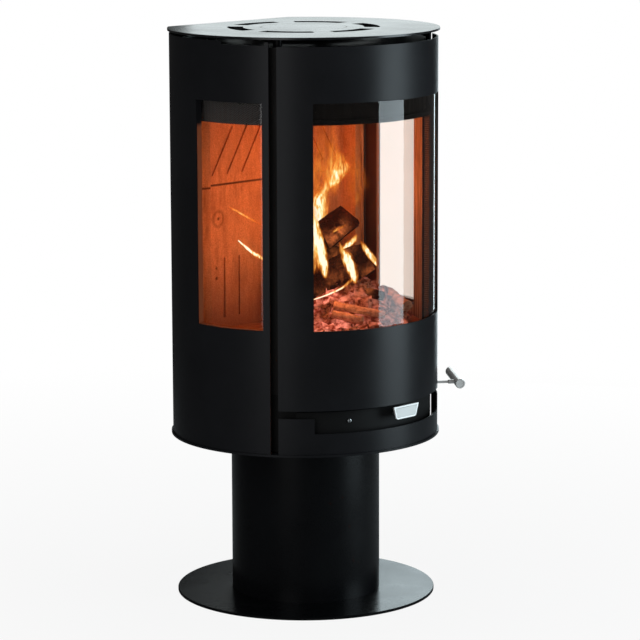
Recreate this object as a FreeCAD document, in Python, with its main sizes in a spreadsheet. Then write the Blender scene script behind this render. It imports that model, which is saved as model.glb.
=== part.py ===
"""Pedestal wood stove: a D-plan steel body with a curved glazed door and two curved side windows.

Millimetres. The origin is on the floor, on the axis of the pedestal, which is also the centre of the
body's curved front. +X is to the viewer's right, +Y to the back, +Z up. Angles round the body are
measured from the front, positive to the right.
"""
import FreeCAD, Part
import os
import re
import Sketcher

V = FreeCAD.Vector
UP = V(0, 0, 1)
HALF_TURN = "180"
TOUCH = 0.01
FACING = 0.9

doc = FreeCAD.newDocument("wood_stove")
sheet = doc.addObject("Spreadsheet::Sheet", "Sizes")

# Driving sizes in millimetres and degrees, each with what it measures.
SIZES = [
    ("foot_radius", 243, "floor plate, radius"),
    ("foot_sheet", 5, "floor plate, thickness"),
    ("foot_edge", 1, "floor plate, broken edge"),
    ("column_radius", 139.5, "pedestal column, outer radius"),
    ("column_sheet", 3, "pedestal column, wall"),
    ("column_height", 301, "pedestal column, height"),
    ("flange_width", 32, "ring inside the column head, width"),
    ("flange_sheet", 6, "ring inside the column head, thickness"),
    ("bolt_inset", 17, "bolt circle inside the column's inner face"),
    ("bolt_turn", 45, "first flange bolt, angle from the right-hand side"),
    ("bolt_radius", 4, "flange bolt, shank radius"),
    ("bolt_play", 0.2, "flange bolt, radial play in its holes"),
    ("bolt_head_radius", 7.5, "flange bolt, head radius"),
    ("bolt_head_height", 5.5, "flange bolt, head height"),
    ("skin_radius", 249, "curved casing, outer radius"),
    ("skin_sheet", 3, "curved casing, sheet thickness"),
    ("rear_inset", 56, "rear panel's outer face inside the curved casing's round"),
    ("rear_sheet", 3, "rear panel, sheet thickness"),
    ("plate_overhang", 3, "top and bottom plates, overhang past the casing"),
    ("bottom_sheet", 4, "bottom plate, thickness"),
    ("top_sheet", 4, "top plate, thickness"),
    ("skirt_height", 66.5, "front skirt, height at its raised ends"),
    ("skirt_low", 38.5, "front skirt, height under the air slot"),
    ("skirt_cut_angle", 42, "front skirt, half angle of the cut-out"),
    ("door_gap", 14, "gap between skirt and door"),
    ("door_height", 657.5, "door, height"),
    ("door_angle", 57.2, "door, half angle"),
    ("top_gap", 13, "gap between door and top plate"),
    ("groove_angle", 3.4, "open groove beside the door"),
    ("panel_top_gap", 5, "gap between side panels and top plate"),
    ("panel_notch", 6, "shallow notch in the side panel's top edge, depth"),
    ("panel_tab_angle", 1.8, "full-height tab in front of that notch"),
    ("notch_angle", 20, "length of that notch round the body"),
    ("window_sill", 146, "window sills above the door's lower edge"),
    ("window_height", 410.5, "windows, height"),
    ("window_angle", 42.2, "door window, half angle"),
    ("side_window_inset", 2.9, "side window behind the panel's front edge"),
    ("side_window_angle", 34, "side window, angle it spans"),
    ("reveal_sheet", 2, "folded reveal round the side windows"),
    ("reveal_gap", 1.5, "reveal in front of the side glass clips"),
    ("convection_gap", 23, "firebox wall inside the casing's outer face"),
    ("firebox_sheet", 4, "firebox walls, thickness"),
    ("firebox_back_inset", 90, "firebox back's inner face in front of the rear panel's face"),
    ("frame_angle", 62, "firebox front frame, half angle"),
    ("mouth_angle", 50, "firebox mouth, half angle"),
    ("mouth_drop", 45.5, "firebox mouth below the window sills"),
    ("ash_mouth_angle", 36, "ash mouth, half angle"),
    ("ash_mouth_sill", 1, "ash mouth above the ash floor"),
    ("ash_mouth_play", 5, "ash mouth above the ash pan"),
    ("rail_drop", 41, "firebox openings below the window heads"),
    ("side_opening_lip", 1, "firebox side opening inside the panel window at the front, angle"),
    ("side_opening_back", 5.5, "firebox side opening behind the panel window, angle"),
    ("side_sill_drop", 5.5, "firebox side opening below the window sills"),
    ("crown_drop", 20, "firebox top below the top plate"),
    ("crown_sheet", 4, "firebox top, thickness"),
    ("ash_floor_rise", 25.5, "ash floor above the door's lower edge"),
    ("ash_floor_sheet", 3, "ash floor, thickness"),
    ("fire_floor_drop", 55.5, "firebox floor's underside below the window sills"),
    ("fire_floor_sheet", 4, "firebox floor, thickness"),
    ("floor_hole_width", 150, "ash hole in the firebox floor, width"),
    ("floor_hole_depth", 110, "ash hole in the firebox floor, depth"),
    ("floor_hole_centre", -70, "ash hole's centre, along the depth"),
    ("lining_thickness", 28, "back lining, thickness"),
    ("lining_play", 0.5, "linings, play to the steel round them"),
    ("lining_split", 242.5, "joint of the back lining above the window sills"),
    ("lining_top", 379.5, "top of the back lining above the window sills"),
    ("lining_joint", 0.5, "joint between lining slabs"),
    ("rib_width", 5, "grooves in the back lining, width"),
    ("rib_depth", 3, "grooves in the back lining, depth"),
    ("rib_pitch", 38, "grooves in the back lining, spacing"),
    ("rib_rise", 20, "grooves above the lower edge of each slab"),
    ("upright_length", 112, "grooves in the lower slab, length"),
    ("upright_first", 99, "first groove of the lower slab from the middle"),
    ("slanted_length", 102, "grooves in the upper slab, length"),
    ("slanted_first", 90, "first groove of the upper slab from the middle"),
    ("rib_slant", 31, "lean of the upper slab's grooves towards the middle"),
    ("side_lining_thickness", 22, "side lining columns, thickness"),
    ("side_lining_depth", 18.739, "side lining columns, reach in front of the back lining"),
    ("floor_lining_thickness", 25, "floor lining, thickness"),
    ("grate_border", 9, "grate, rim round the ash hole"),
    ("grate_thickness", 14, "grate, thickness"),
    ("grate_play", 1, "grate, play in the floor lining"),
    ("grate_slot", 8, "grate, slot width"),
    ("grate_bar", 9, "grate, bar width"),
    ("baffle_thickness", 25, "lower baffle, thickness"),
    ("baffle_front_gap", 106.5, "lower baffle behind the front of the firebox"),
    ("baffle_side_gap", 36.5, "lower baffle inside the firebox, each side"),
    ("deflector_gap", 40, "upper baffle above the lower one"),
    ("deflector_sheet", 3, "upper baffle, thickness"),
    ("deflector_front_gap", 71.5, "upper baffle behind the front of the firebox"),
    ("deflector_rear_gap", 55, "upper baffle in front of the firebox back"),
    ("deflector_side_gap", 61.5, "upper baffle inside the firebox, each side"),
    ("post_radius", 6, "posts that carry the upper baffle, radius"),
    ("post_inset", 18, "posts inside the upper baffle's edges"),
    ("glass_thickness", 4, "curved glass, thickness"),
    ("side_gasket", 3, "side glass gasket, thickness"),
    ("side_glass_lap", 2, "side glass past the firebox opening, angle"),
    ("side_glass_lap_height", 12, "side glass past the window, height"),
    ("clip_sheet", 2, "side glass clips, thickness"),
    ("clip_angle", 4, "side glass clips, length round the body"),
    ("clip_bite", 8, "side glass clips, lap on the glass"),
    ("clip_rise", 8, "side glass clips, height outside the glass"),
    ("clip_play", 0.3, "side glass clips, play at the glass edge"),
    ("bracket_sheet", 3, "panel brackets, thickness"),
    ("bracket_angle", 104, "panel brackets, place round the body"),
    ("bracket_spread", 4, "panel brackets, length round the body"),
    ("bracket_low", 130, "lower panel brackets above the deck"),
    ("bracket_high", 680, "upper panel brackets above the deck"),
    ("shield_inset", 43, "rear heat shield's inner face in front of the rear panel's face"),
    ("shield_sheet", 2, "rear heat shield, thickness"),
    ("shield_side_gap", 84, "rear heat shield inside the casing, each side"),
    ("shield_drop", 12, "rear heat shield below the top plate"),
    ("flue_radius", 74.5, "flue spigot, outer radius"),
    ("flue_sheet", 2, "flue spigot, wall"),
    ("flue_drop", 98, "flue spigot's axis below the top plate"),
    ("flue_reach", 42, "flue and air spigots behind the rear panel"),
    ("flue_play", 3.5, "flue and air holes, radial play in the sheets"),
    ("spigot_step", 1, "flue and air ducts inside their spigots' radius"),
    ("spigot_start", 2, "spigots' full radius behind the rear panel"),
    ("cover_radius", 79, "top flue cover, radius"),
    ("cover_play", 1, "top flue cover, radial play"),
    ("collar_wall", 6, "top collar, wall"),
    ("collar_inset", 3, "top collar inside the cover's edge"),
    ("spacer_radius", 8, "top spacers, radius"),
    ("spacer_side_gap", 61, "top spacers inside the firebox wall, each side"),
    ("spacer_front_gap", 131, "front top spacers behind the firebox front"),
    ("spacer_rear_gap", 30, "rear top spacers in front of the firebox back"),
    ("ring_slot_inner", 112, "ring slots in the top plate, inner radius"),
    ("ring_slot_outer", 141, "ring slots in the top plate, outer radius"),
    ("ring_slot_angle", 22, "ring slots in the top plate, half angle"),
    ("louvre_length", 180, "convection slots in the rear panel, length"),
    ("louvre_width", 9, "convection slots in the rear panel, width"),
    ("louvre_pitch", 22, "convection slots in the rear panel, spacing"),
    ("louvre_level", 330, "lowest convection slot above the deck"),
    ("air_radius", 49.5, "fresh-air spigot, outer radius"),
    ("air_sheet", 2, "fresh-air spigot, wall"),
    ("air_rise", 51.5, "fresh-air spigot's axis above the deck"),
    ("air_bore", 45, "hole into the air box, radius"),
    ("backplate_gap", 14.5, "plate behind the air slot inside the casing"),
    ("backplate_sheet", 2.5, "plate behind the air slot, thickness"),
    ("backplate_angle", 50, "plate behind the air slot, half angle"),
    ("backplate_drop", 4.5, "plate behind the air slot below the door"),
    ("valve_rise", 53, "air valve plate above the deck"),
    ("valve_sheet", 3, "air valve plate, thickness"),
    ("port_length", 70, "air ports, length"),
    ("port_width", 16, "air ports, width"),
    ("port_offset", 60, "air ports to each side of the axis"),
    ("port_place", -40, "air ports along the depth"),
    ("damper_play", 0.3, "damper above the valve plate"),
    ("damper_sheet", 3, "damper, thickness"),
    ("damper_half_width", 104, "damper, half width"),
    ("damper_depth", 90, "damper, depth"),
    ("damper_front", -100, "damper, front edge"),
    ("stem_half_width", 12, "air stem, half width"),
    ("stem_height", 4, "air stem, thickness"),
    ("stem_play", 0.4, "air stem, play in its slots"),
    ("tab_reach", 8.6, "pull tab in front of the casing"),
    ("tab_sheet", 3, "pull tab, thickness"),
    ("tab_top_width", 66, "pull tab, width at the top"),
    ("tab_bottom_width", 52, "pull tab, width at the bottom"),
    ("tab_height", 23.5, "pull tab, height"),
    ("tab_drop", 2.5, "pull tab below the door's lower edge"),
    ("tab_corner", 5, "pull tab, lower corner radius"),
    ("pan_side_gap", 102, "ash pan inside the firebox, each side"),
    ("pan_front_gap", 72, "ash pan behind the front of the firebox"),
    ("pan_rear_gap", 35, "ash pan in front of the firebox back"),
    ("pan_height", 50, "ash pan, height"),
    ("pan_sheet", 1.5, "ash pan, wall"),
    ("tray_angle", 52.5, "door tray, half angle"),
    ("tray_sheet", 3, "door tray, sheet thickness"),
    ("tray_margin", 16, "door tray inside the door's upper and lower edges"),
    ("tray_window_angle", 45, "door tray's opening, half angle"),
    ("tray_window_lap", 10, "door tray's opening past the window, height"),
    ("sill_seam", 0.005, "seam between the two sill plates, half angle"),
    ("sill_play", 0.02, "sill plates below the door tray"),
    ("door_glass_angle", 46.5, "door glass, half angle"),
    ("door_glass_lap", 15, "door glass past the window, height"),
    ("door_gasket", 2, "door glass gasket, thickness"),
    ("door_gasket_lap", 1.3, "door glass gasket outside the window, angle"),
    ("door_gasket_rise", 8.5, "door glass gasket outside the window, height"),
    ("rope_play", 0.4, "rope gasket in front of the firebox frame"),
    ("rope_inner_angle", 50.3, "rope gasket, inner half angle"),
    ("rope_outer_angle", 52.3, "rope gasket, outer half angle"),
    ("rope_width", 8, "rope gasket, width"),
    ("rope_lap", 2, "rope gasket above the firebox mouth"),
    ("rope_drop", 1, "rope gasket below the ash floor"),
    ("hinge_angle", 55.2, "door hinge axis, to the left of the front"),
    ("hinge_inset", 10, "door hinge axis inside the casing's outer face"),
    ("hinge_pin_radius", 3, "hinge pins, radius"),
    ("hinge_play", 0.05, "hinge pins, radial play in the door lugs"),
    ("hinge_eye", 6.5, "hinge eyes, radius"),
    ("hinge_sheet", 6, "hinge plates, thickness"),
    ("hinge_gap", 0.3, "gap between hinge plates"),
    ("hinge_arm_left", 1.5, "hinge bracket arm, left of the axis"),
    ("hinge_arm_right", 5, "hinge bracket arm, right of the axis"),
    ("hinge_low", 40, "lower hinge above the door's lower edge"),
    ("hinge_high", 600, "upper hinge above the door's lower edge"),
    ("pin_head_radius", 5, "hinge pins, head radius"),
    ("pin_head_height", 3, "hinge pins, head height"),
    ("handle_angle", 54, "handle spindle, to the right of the front"),
    ("handle_drop", 3.3, "handle spindle below the door's lower edge"),
    ("spindle_radius", 2.5, "handle spindle, radius"),
    ("spindle_play", 0.05, "handle spindle, radial play in the boss"),
    ("spindle_inset", 19.5, "spindle's inner end inside the casing"),
    ("ferrule_radius", 4, "ferrule beside the cross bar, radius"),
    ("ferrule_length", 10, "ferrule beside the cross bar, length"),
    ("bar_reach", 46.7, "cross bar's axis in front of the casing"),
    ("bar_radius", 9.5, "cross bar, radius"),
    ("bar_front", 18, "cross bar in front of the spindle"),
    ("bar_rear", 71, "cross bar behind the spindle"),
    ("bar_tilt", 5.3, "cross bar, lift of its rear end"),
    ("bar_edge", 1.2, "cross bar, broken edge"),
    ("bar_dish", 0.8, "cross bar, dish in its end faces"),
    ("bar_rim", 2.2, "cross bar, rim round the dish"),
    ("spindle_grip", 4, "spindle's length inside the cross bar"),
    ("boss_reach", 4, "handle boss in front of the casing"),
    ("boss_half_width", 11, "handle boss, half width"),
    ("boss_rise", 17.5, "handle boss above the door's lower edge"),
    ("boss_drop", 12.5, "handle boss below the door's lower edge"),
    ("boss_edge", 1.5, "handle boss, outer edge radius"),
    ("finger_sheet", 4, "latch finger, thickness"),
    ("finger_length", 20, "latch finger, length from the spindle"),
    ("finger_half_width", 4, "latch finger, half width"),
    ("keeper_start", 2.7, "latch keeper's near edge past the spindle, angle"),
    ("keeper_span", 3.4, "latch keeper, length round the body"),
    ("keeper_lip_gap", 1.5, "keeper lip in front of the finger"),
    ("keeper_sheet", 4, "keeper, thickness"),
    ("keeper_depth", 24, "keeper, height"),
    ("keeper_clear", 1.4, "keeper below the released finger"),
    ("cut_over", 5, "cutting tools past what they cut"),
]
ALIASES = {alias for alias, value, note in SIZES}
for row, (alias, value, note) in enumerate(SIZES, start=1):
    sheet.set(f"A{row}", note)
    sheet.set(f"B{row}", str(value))
    sheet.setAlias(f"B{row}", alias)
doc.recompute()

# Levels above the floor and radii from the axis that several pieces share.
BASE = "(foot_sheet + column_height)"
DECK = f"({BASE} + bottom_sheet)"
SKIRT_TOP = f"({DECK} + skirt_height)"
DOOR_LOW = f"({SKIRT_TOP} + door_gap)"
DOOR_HIGH = f"({DOOR_LOW} + door_height)"
ROOF = f"({DOOR_HIGH} + top_gap)"
PANEL_TOP = f"({ROOF} - panel_top_gap)"
SILL = f"({DOOR_LOW} + window_sill)"
HEAD = f"({SILL} + window_height)"
ASH_TOP = f"({DOOR_LOW} + ash_floor_rise)"
ASH_UNDER = f"({ASH_TOP} - ash_floor_sheet)"
MOUTH_LOW = f"({SILL} - mouth_drop)"
MOUTH_HIGH = f"({HEAD} - rail_drop)"
SIDE_LOW = f"({SILL} - side_sill_drop)"
CROWN = f"({ROOF} - crown_drop)"
CROWN_TOP = f"({CROWN} + crown_sheet)"
FIRE_FLOOR = f"({SILL} - fire_floor_drop)"
FIRE_FLOOR_TOP = f"({FIRE_FLOOR} + fire_floor_sheet)"
LINING_SPLIT = f"({SILL} + lining_split)"
LINING_TOP = f"({SILL} + lining_top)"
BAFFLE_TOP = f"({LINING_TOP} + baffle_thickness)"
DEFLECTOR = f"({BAFFLE_TOP} + deflector_gap)"
VALVE_TOP = f"({DECK} + valve_rise + valve_sheet)"
DAMPER_LOW = f"({VALVE_TOP} + damper_play)"
STEM_LOW = f"({DAMPER_LOW} + damper_sheet)"
STEM_HIGH = f"({STEM_LOW} + stem_height)"
HANDLE_LEVEL = f"({DOOR_LOW} - handle_drop)"
FLUE_LEVEL = f"({ROOF} - flue_drop)"
AIR_LEVEL = f"({DECK} + air_rise)"

SKIN_IN = "(skin_radius - skin_sheet)"
PLATE_R = "(skin_radius + plate_overhang)"
REAR_FACE = "(skin_radius - rear_inset)"
PLATE_BACK = f"({REAR_FACE} + plate_overhang)"
SHELL_R = "(skin_radius - convection_gap)"
SHELL_IN = f"({SHELL_R} - firebox_sheet)"
FIREBOX_BACK = f"({REAR_FACE} - firebox_back_inset)"
SHELL_BACK = f"({FIREBOX_BACK} + firebox_sheet)"
SHIELD_FACE = f"({REAR_FACE} - shield_inset)"
LINING_R = f"({SHELL_IN} - lining_play)"
LINING_BACK = f"({FIREBOX_BACK} - lining_play)"
LINING_FACE = f"({LINING_BACK} - lining_thickness)"
PANEL_START = "(door_angle + groove_angle)"
SIDE_START = f"({PANEL_START} + side_window_inset)"
SIDE_END = f"({SIDE_START} + side_window_angle)"
OPEN_START = f"({SIDE_START} + side_opening_lip)"
OPEN_END = f"({SIDE_END} + side_opening_back)"
SIDE_GLASS_IN = f"({SHELL_R} + side_gasket)"
SIDE_GLASS_OUT = f"({SIDE_GLASS_IN} + glass_thickness)"
CLIP_OUT = f"({SIDE_GLASS_OUT} + clip_sheet)"
DOOR_GLASS_OUT = f"({SKIN_IN} - door_gasket)"
DOOR_GLASS_IN = f"({DOOR_GLASS_OUT} - glass_thickness)"
TRAY_IN = f"({DOOR_GLASS_IN} - tray_sheet)"
HINGE_R = "(skin_radius - hinge_inset)"
FINGER_IN = "(skin_radius - spindle_inset)"
FINGER_OUT = f"({FINGER_IN} + finger_sheet)"


def sized(text):
    """The expression text with each sheet alias written as a reference to the sheet."""
    def reference(match):
        word = match.group()
        return "Sizes." + word if word in ALIASES else word
    return re.sub(r"[A-Za-z_]\w*", reference, text)


def bind(obj, **sizes):
    """Bind properties of obj to expressions of the sheet."""
    for name, text in sizes.items():
        obj.setExpression(name, sized(text))
    return obj


def place(obj, x="0", y="0", z="0", turn="0", axis=UP):
    """Bind an object's position and its turn in degrees about an axis."""
    obj.Placement = FreeCAD.Placement(V(0, 0, 0), FreeCAD.Rotation(axis, 1))
    for name, text in (("Base.x", x), ("Base.y", y), ("Base.z", z), ("Rotation.Angle", turn)):
        obj.setExpression("Placement." + name, sized(text))
    return obj


def new(kind, name):
    return doc.addObject(kind, name)


def cylinder(name, radius, low, high, x="0", y="0"):
    """Upright cylinder between two levels."""
    obj = bind(new("Part::Cylinder", name), Radius=radius, Height=f"{high} - {low}")
    return place(obj, x, y, low)


def along_y(name, radius, start, end, level):
    """Cylinder along the depth, on the middle plane."""
    obj = bind(new("Part::Cylinder", name), Radius=radius, Height=f"{end} - {start}")
    return place(obj, "0", end, level, "90", V(1, 0, 0))


def box(name, x0, x1, y0, y1, z0, z1):
    obj = bind(new("Part::Box", name), Length=f"{x1} - ({x0})", Width=f"{y1} - ({y0})",
               Height=f"{z1} - ({z0})")
    return place(obj, x0, y0, z0)


def polar_box(name, angle, r0, r1, t0, t1, z0, z1):
    """Box that stands square to the radius at an angle: radial, tangential and upright extents."""
    turn = f"({angle} - 90)"
    cosine = f"cos({turn} * 1 deg)"
    sine = f"sin({turn} * 1 deg)"
    obj = bind(new("Part::Box", name), Length=f"{r1} - ({r0})", Width=f"{t1} - ({t0})",
               Height=f"{z1} - ({z0})")
    x = f"({r0}) * {cosine} - ({t0}) * {sine}"
    y = f"({r0}) * {sine} + ({t0}) * {cosine}"
    return place(obj, x, y, z0, turn)


def wedge(name, radius, low, high, start, end):
    """Solid sector of a cylinder between two angles."""
    obj = bind(new("Part::Cylinder", name), Radius=radius, Height=f"{high} - {low}",
               Angle=f"{end} - ({start})")
    return place(obj, z=low, turn=f"{start} - 90")


def cut(name, base, *tools):
    """Base less each tool in turn; the last step carries the name."""
    for count, tool in enumerate(tools, start=1):
        step = new("Part::Cut", name if count == len(tools) else f"{name}_step{count}")
        step.Base = base
        step.Tool = tool
        base = step
    return base


def common(name, base, tool):
    obj = new("Part::Common", name)
    obj.Base = base
    obj.Tool = tool
    return obj


def fuse(name, *shapes):
    obj = new("Part::MultiFuse", name)
    obj.Shapes = list(shapes)
    obj.Refine = True
    return obj


def group(name, *shapes):
    obj = new("Part::Compound", name)
    obj.Links = list(shapes)
    return obj


def shell_sector(name, r0, r1, low, high, start, end):
    """Curved sheet: a ring sector between two radii, levels and angles."""
    outer = wedge(name + "_outer", r1, low, high, start, end)
    inner = cylinder(name + "_inner", r0, f"({low} - cut_over)", f"({high} + cut_over)")
    return cut(name, outer, inner)


def window_cutter(name, r1, low, high, start, end):
    """Tool that opens a window through curved sheets."""
    return wedge(name, f"({r1} + cut_over)", low, high, start, end)


def d_plate(name, radius, back, low, high):
    """Flat plate with a round front and a straight back."""
    disc = cylinder(name + "_disc", radius, low, high)
    reach = f"({radius} + cut_over)"
    behind = box(name + "_behind", f"-{reach}", reach, back, reach, f"({low} - cut_over)",
                 f"({high} + cut_over)")
    return cut(name, disc, behind)


def body(name):
    return new("PartDesign::Body", name)


def sketch(owner, plane, name, offset="0"):
    """Sketch on one of a body's own origin planes, moved along that plane's normal."""
    obj = owner.newObject("Sketcher::SketchObject", name)
    support = [item for item in owner.Origin.OriginFeatures if item.Role == plane][0]
    obj.AttachmentSupport = [(support, "")]
    obj.MapMode = "FlatFace"
    obj.setExpression("AttachmentOffset.Base.z", sized(offset))
    return obj


def value_of(text):
    """Present value of an expression, for the first drawing of a sketch."""
    return float(sheet.evalExpression(sized(text)))


def fix_point(profile, line, end, x, y):
    """Bind one end of a sketch line to a point given by two expressions."""
    for kind, text in (("DistanceX", x), ("DistanceY", y)):
        index = profile.addConstraint(Sketcher.Constraint(kind, -1, 1, line, end, value_of(text)))
        profile.setExpression(f"Constraints[{index}]", sized(text))


def outline(profile, points):
    """Closed outline of straight lines through points given by expressions."""
    corners = [V(value_of(x), value_of(y), 0) for x, y in points]
    count = len(corners)
    lines = []
    for index in range(count):
        segment = Part.LineSegment(corners[index], corners[(index + 1) % count])
        lines.append(profile.addGeometry(segment))
    for index in range(count):
        follower = lines[(index + 1) % count]
        profile.addConstraint(Sketcher.Constraint("Coincident", lines[index], 2, follower, 1))
    for line, (x, y) in zip(lines, points):
        fix_point(profile, line, 1, x, y)


def circle(profile, radius, x="0", y="0"):
    """Circle in a sketch, with its centre and radius bound."""
    shape = Part.Circle(V(value_of(x), value_of(y), 0), V(0, 0, 1), value_of(radius))
    index = profile.addGeometry(shape)
    fix_point(profile, index, 3, x, y)
    datum = profile.addConstraint(Sketcher.Constraint("Radius", index, value_of(radius)))
    profile.setExpression(f"Constraints[{datum}]", sized(radius))


def pad(owner, profile, name, length):
    obj = owner.newObject("PartDesign::Pad", name)
    obj.Profile = profile
    return bind(obj, Length=length)


def pocket_through(owner, profile, name):
    obj = owner.newObject("PartDesign::Pocket", name)
    obj.Profile = profile
    obj.Type = "ThroughAll"
    obj.Midplane = True
    return obj


def turned(owner, profile, name, axis="H_Axis"):
    obj = owner.newObject("PartDesign::Revolution", name)
    obj.Profile = profile
    obj.ReferenceAxis = (profile, [axis])
    obj.Angle = 360
    return obj


def polar_pattern(owner, feature, name, count):
    obj = owner.newObject("PartDesign::PolarPattern", name)
    obj.Originals = [feature]
    obj.Axis = ([item for item in owner.Origin.OriginFeatures if item.Role == "Z_Axis"][0], [""])
    obj.Angle = 360
    obj.Occurrences = count
    owner.Tip = obj
    return obj


SIDES = (("left", -1), ("right", 1))


def side_span(sign, start, end):
    """Angles of a sector on the left or right side."""
    return (start, end) if sign > 0 else (f"(-{end})", f"(-{start})")


def floor_plate():
    owner = body("floor_plate")
    profile = sketch(owner, "XY_Plane", "foot_outline")
    circle(profile, "foot_radius")
    plate = pad(owner, profile, "foot_disc", "foot_sheet")
    doc.recompute()
    edge = owner.newObject("PartDesign::Chamfer", "foot_edge_break")
    edge.Base = (plate, ["Face3"])
    bind(edge, Size="foot_edge")
    owner.Tip = edge
    return owner


def pedestal():
    column = body("pedestal_column")
    profile = sketch(column, "XY_Plane", "column_section", "foot_sheet")
    circle(profile, "column_radius")
    circle(profile, "column_radius - column_sheet")
    pad(column, profile, "column_tube", "column_height")

    flange = body("pedestal_flange")
    inner_face = "column_radius - column_sheet"
    level = f"{BASE} - flange_sheet"
    profile = sketch(flange, "XY_Plane", "flange_section", level)
    circle(profile, inner_face)
    circle(profile, f"{inner_face} - flange_width")
    pad(flange, profile, "flange_ring", "flange_sheet")
    drill = sketch(flange, "XY_Plane", "flange_drill", level)
    circle(drill, "bolt_radius + bolt_play", *bolt_point(0))
    hole = pocket_through(flange, drill, "flange_hole")
    polar_pattern(flange, hole, "flange_holes", BOLT_COUNT)
    return [column, flange]


BOLT_COUNT = 4


def bolt_point(count):
    """Plan position of one flange bolt."""
    ring = "(column_radius - column_sheet - bolt_inset)"
    angle = f"((bolt_turn + {360 / BOLT_COUNT * count}) * 1 deg)"
    return f"{ring} * cos{angle}", f"{ring} * sin{angle}"


def pedestal_bolts():
    """Hexagon-headed bolts that hold the bottom plate on the column's ring."""
    bolts = []
    for count in range(BOLT_COUNT):
        x, y = bolt_point(count)
        shank = cylinder(f"bolt_shank_{count}", "bolt_radius", f"({BASE} - flange_sheet)", DECK, x, y)
        head = bind(new("Part::Prism", f"bolt_head_{count}"), Circumradius="bolt_head_radius",
                    Height="bolt_head_height")
        place(head, x, y, DECK)
        bolts.append(fuse(f"bolt_{count}", shank, head))
    return group("pedestal_bolts", *bolts)


def bottom_plate():
    plate = d_plate("bottom_blank", PLATE_R, PLATE_BACK, BASE, DECK)
    drills = []
    for count in range(BOLT_COUNT):
        drills.append(cylinder(f"bottom_drill_{count}", "bolt_radius + bolt_play", f"({BASE} - cut_over)",
                               f"({DECK} + cut_over)", *bolt_point(count)))
    return cut("bottom_plate", plate, *drills)


def front_skirt():
    sheet_ring = shell_sector("skirt_sheet", SKIN_IN, "skin_radius", DECK, SKIRT_TOP, "(-door_angle)",
                              "door_angle")
    mouth = window_cutter("skirt_mouth", "skin_radius", f"({DECK} + skirt_low)", f"({SKIRT_TOP} + cut_over)",
                          "(-skirt_cut_angle)", "skirt_cut_angle")
    return cut("front_skirt", sheet_ring, mouth)


def side_panel(side, sign):
    """Curved side sheet with its window, folded reveal and the shallow notch in its top edge."""
    start, end = side_span(sign, PANEL_START, HALF_TURN)
    skin = shell_sector(f"{side}_skin", SKIN_IN, "skin_radius", DECK, PANEL_TOP, start, end)
    reach = "(skin_radius + cut_over)"
    behind = box(f"{side}_skin_behind", f"-{reach}", reach, f"({REAR_FACE} - rear_sheet)", reach,
                 f"({DECK} - cut_over)", f"({PANEL_TOP} + cut_over)")
    tab_end = f"({PANEL_START} + panel_tab_angle)"
    start, end = side_span(sign, tab_end, f"({tab_end} + notch_angle)")
    notch = window_cutter(f"{side}_notch", "skin_radius", f"({PANEL_TOP} - panel_notch)",
                          f"({PANEL_TOP} + cut_over)", start, end)
    skin = cut(f"{side}_skin_trimmed", skin, behind, notch)
    fold = f"(reveal_sheet / {SKIN_IN} * 180 / pi)"
    start, end = side_span(sign, f"({SIDE_START} - {fold})", f"({SIDE_END} + {fold})")
    reveal = shell_sector(f"{side}_reveal", f"({CLIP_OUT} + reveal_gap)", SKIN_IN, f"({SILL} - reveal_sheet)",
                          f"({HEAD} + reveal_sheet)", start, end)
    start, end = side_span(sign, SIDE_START, SIDE_END)
    window = window_cutter(f"{side}_window", "skin_radius", SILL, HEAD, start, end)
    return cut(f"{side}_side_panel", fuse(f"{side}_panel_blank", skin, reveal), window)


def rear_panel():
    """Flat back sheet with a field of convection slots and the flue and air holes."""
    owner = body("rear_panel")
    half = f"sqrt(skin_radius ^ 2 - {REAR_FACE} ^ 2)"
    face = f"-{REAR_FACE}"
    profile = sketch(owner, "XZ_Plane", "rear_outline", face)
    outline(profile, [(f"-{half}", DECK), (half, DECK), (half, PANEL_TOP), (f"-{half}", PANEL_TOP)])
    pad(owner, profile, "rear_sheet_metal", "rear_sheet")
    holes = sketch(owner, "XZ_Plane", "rear_holes", face)
    circle(holes, "flue_radius + flue_play", "0", FLUE_LEVEL)
    circle(holes, "air_radius + flue_play", "0", AIR_LEVEL)
    pocket_through(owner, holes, "rear_hole_cut")
    slot = sketch(owner, "XZ_Plane", "rear_slot", face)
    low = f"({DECK} + louvre_level)"
    high = f"({low} + louvre_width)"
    outline(slot, [("-louvre_length / 2", low), ("louvre_length / 2", low), ("louvre_length / 2", high),
                   ("-louvre_length / 2", high)])
    first = pocket_through(owner, slot, "rear_slot_cut")
    row = owner.newObject("PartDesign::LinearPattern", "rear_slots")
    row.Originals = [first]
    row.Direction = (slot, ["V_Axis"])
    row.Occurrences = LOUVRE_COUNT
    bind(row, Length=f"louvre_pitch * {LOUVRE_COUNT - 1}")
    owner.Tip = row
    return owner


LOUVRE_COUNT = 8


def rear_heat_shield():
    back = f"({SHIELD_FACE} + shield_sheet)"
    half = "(skin_radius - shield_side_gap)"
    plate = box("shield_plate", f"-{half}", half, SHIELD_FACE, back, DECK, f"({ROOF} - shield_drop)")
    near = f"({SHIELD_FACE} - cut_over)"
    past = f"({back} + cut_over)"
    flue = along_y("shield_flue", "flue_radius + flue_play", near, past, FLUE_LEVEL)
    air = along_y("shield_air", "air_radius + flue_play", near, past, AIR_LEVEL)
    return cut("rear_heat_shield", plate, flue, air)


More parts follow.
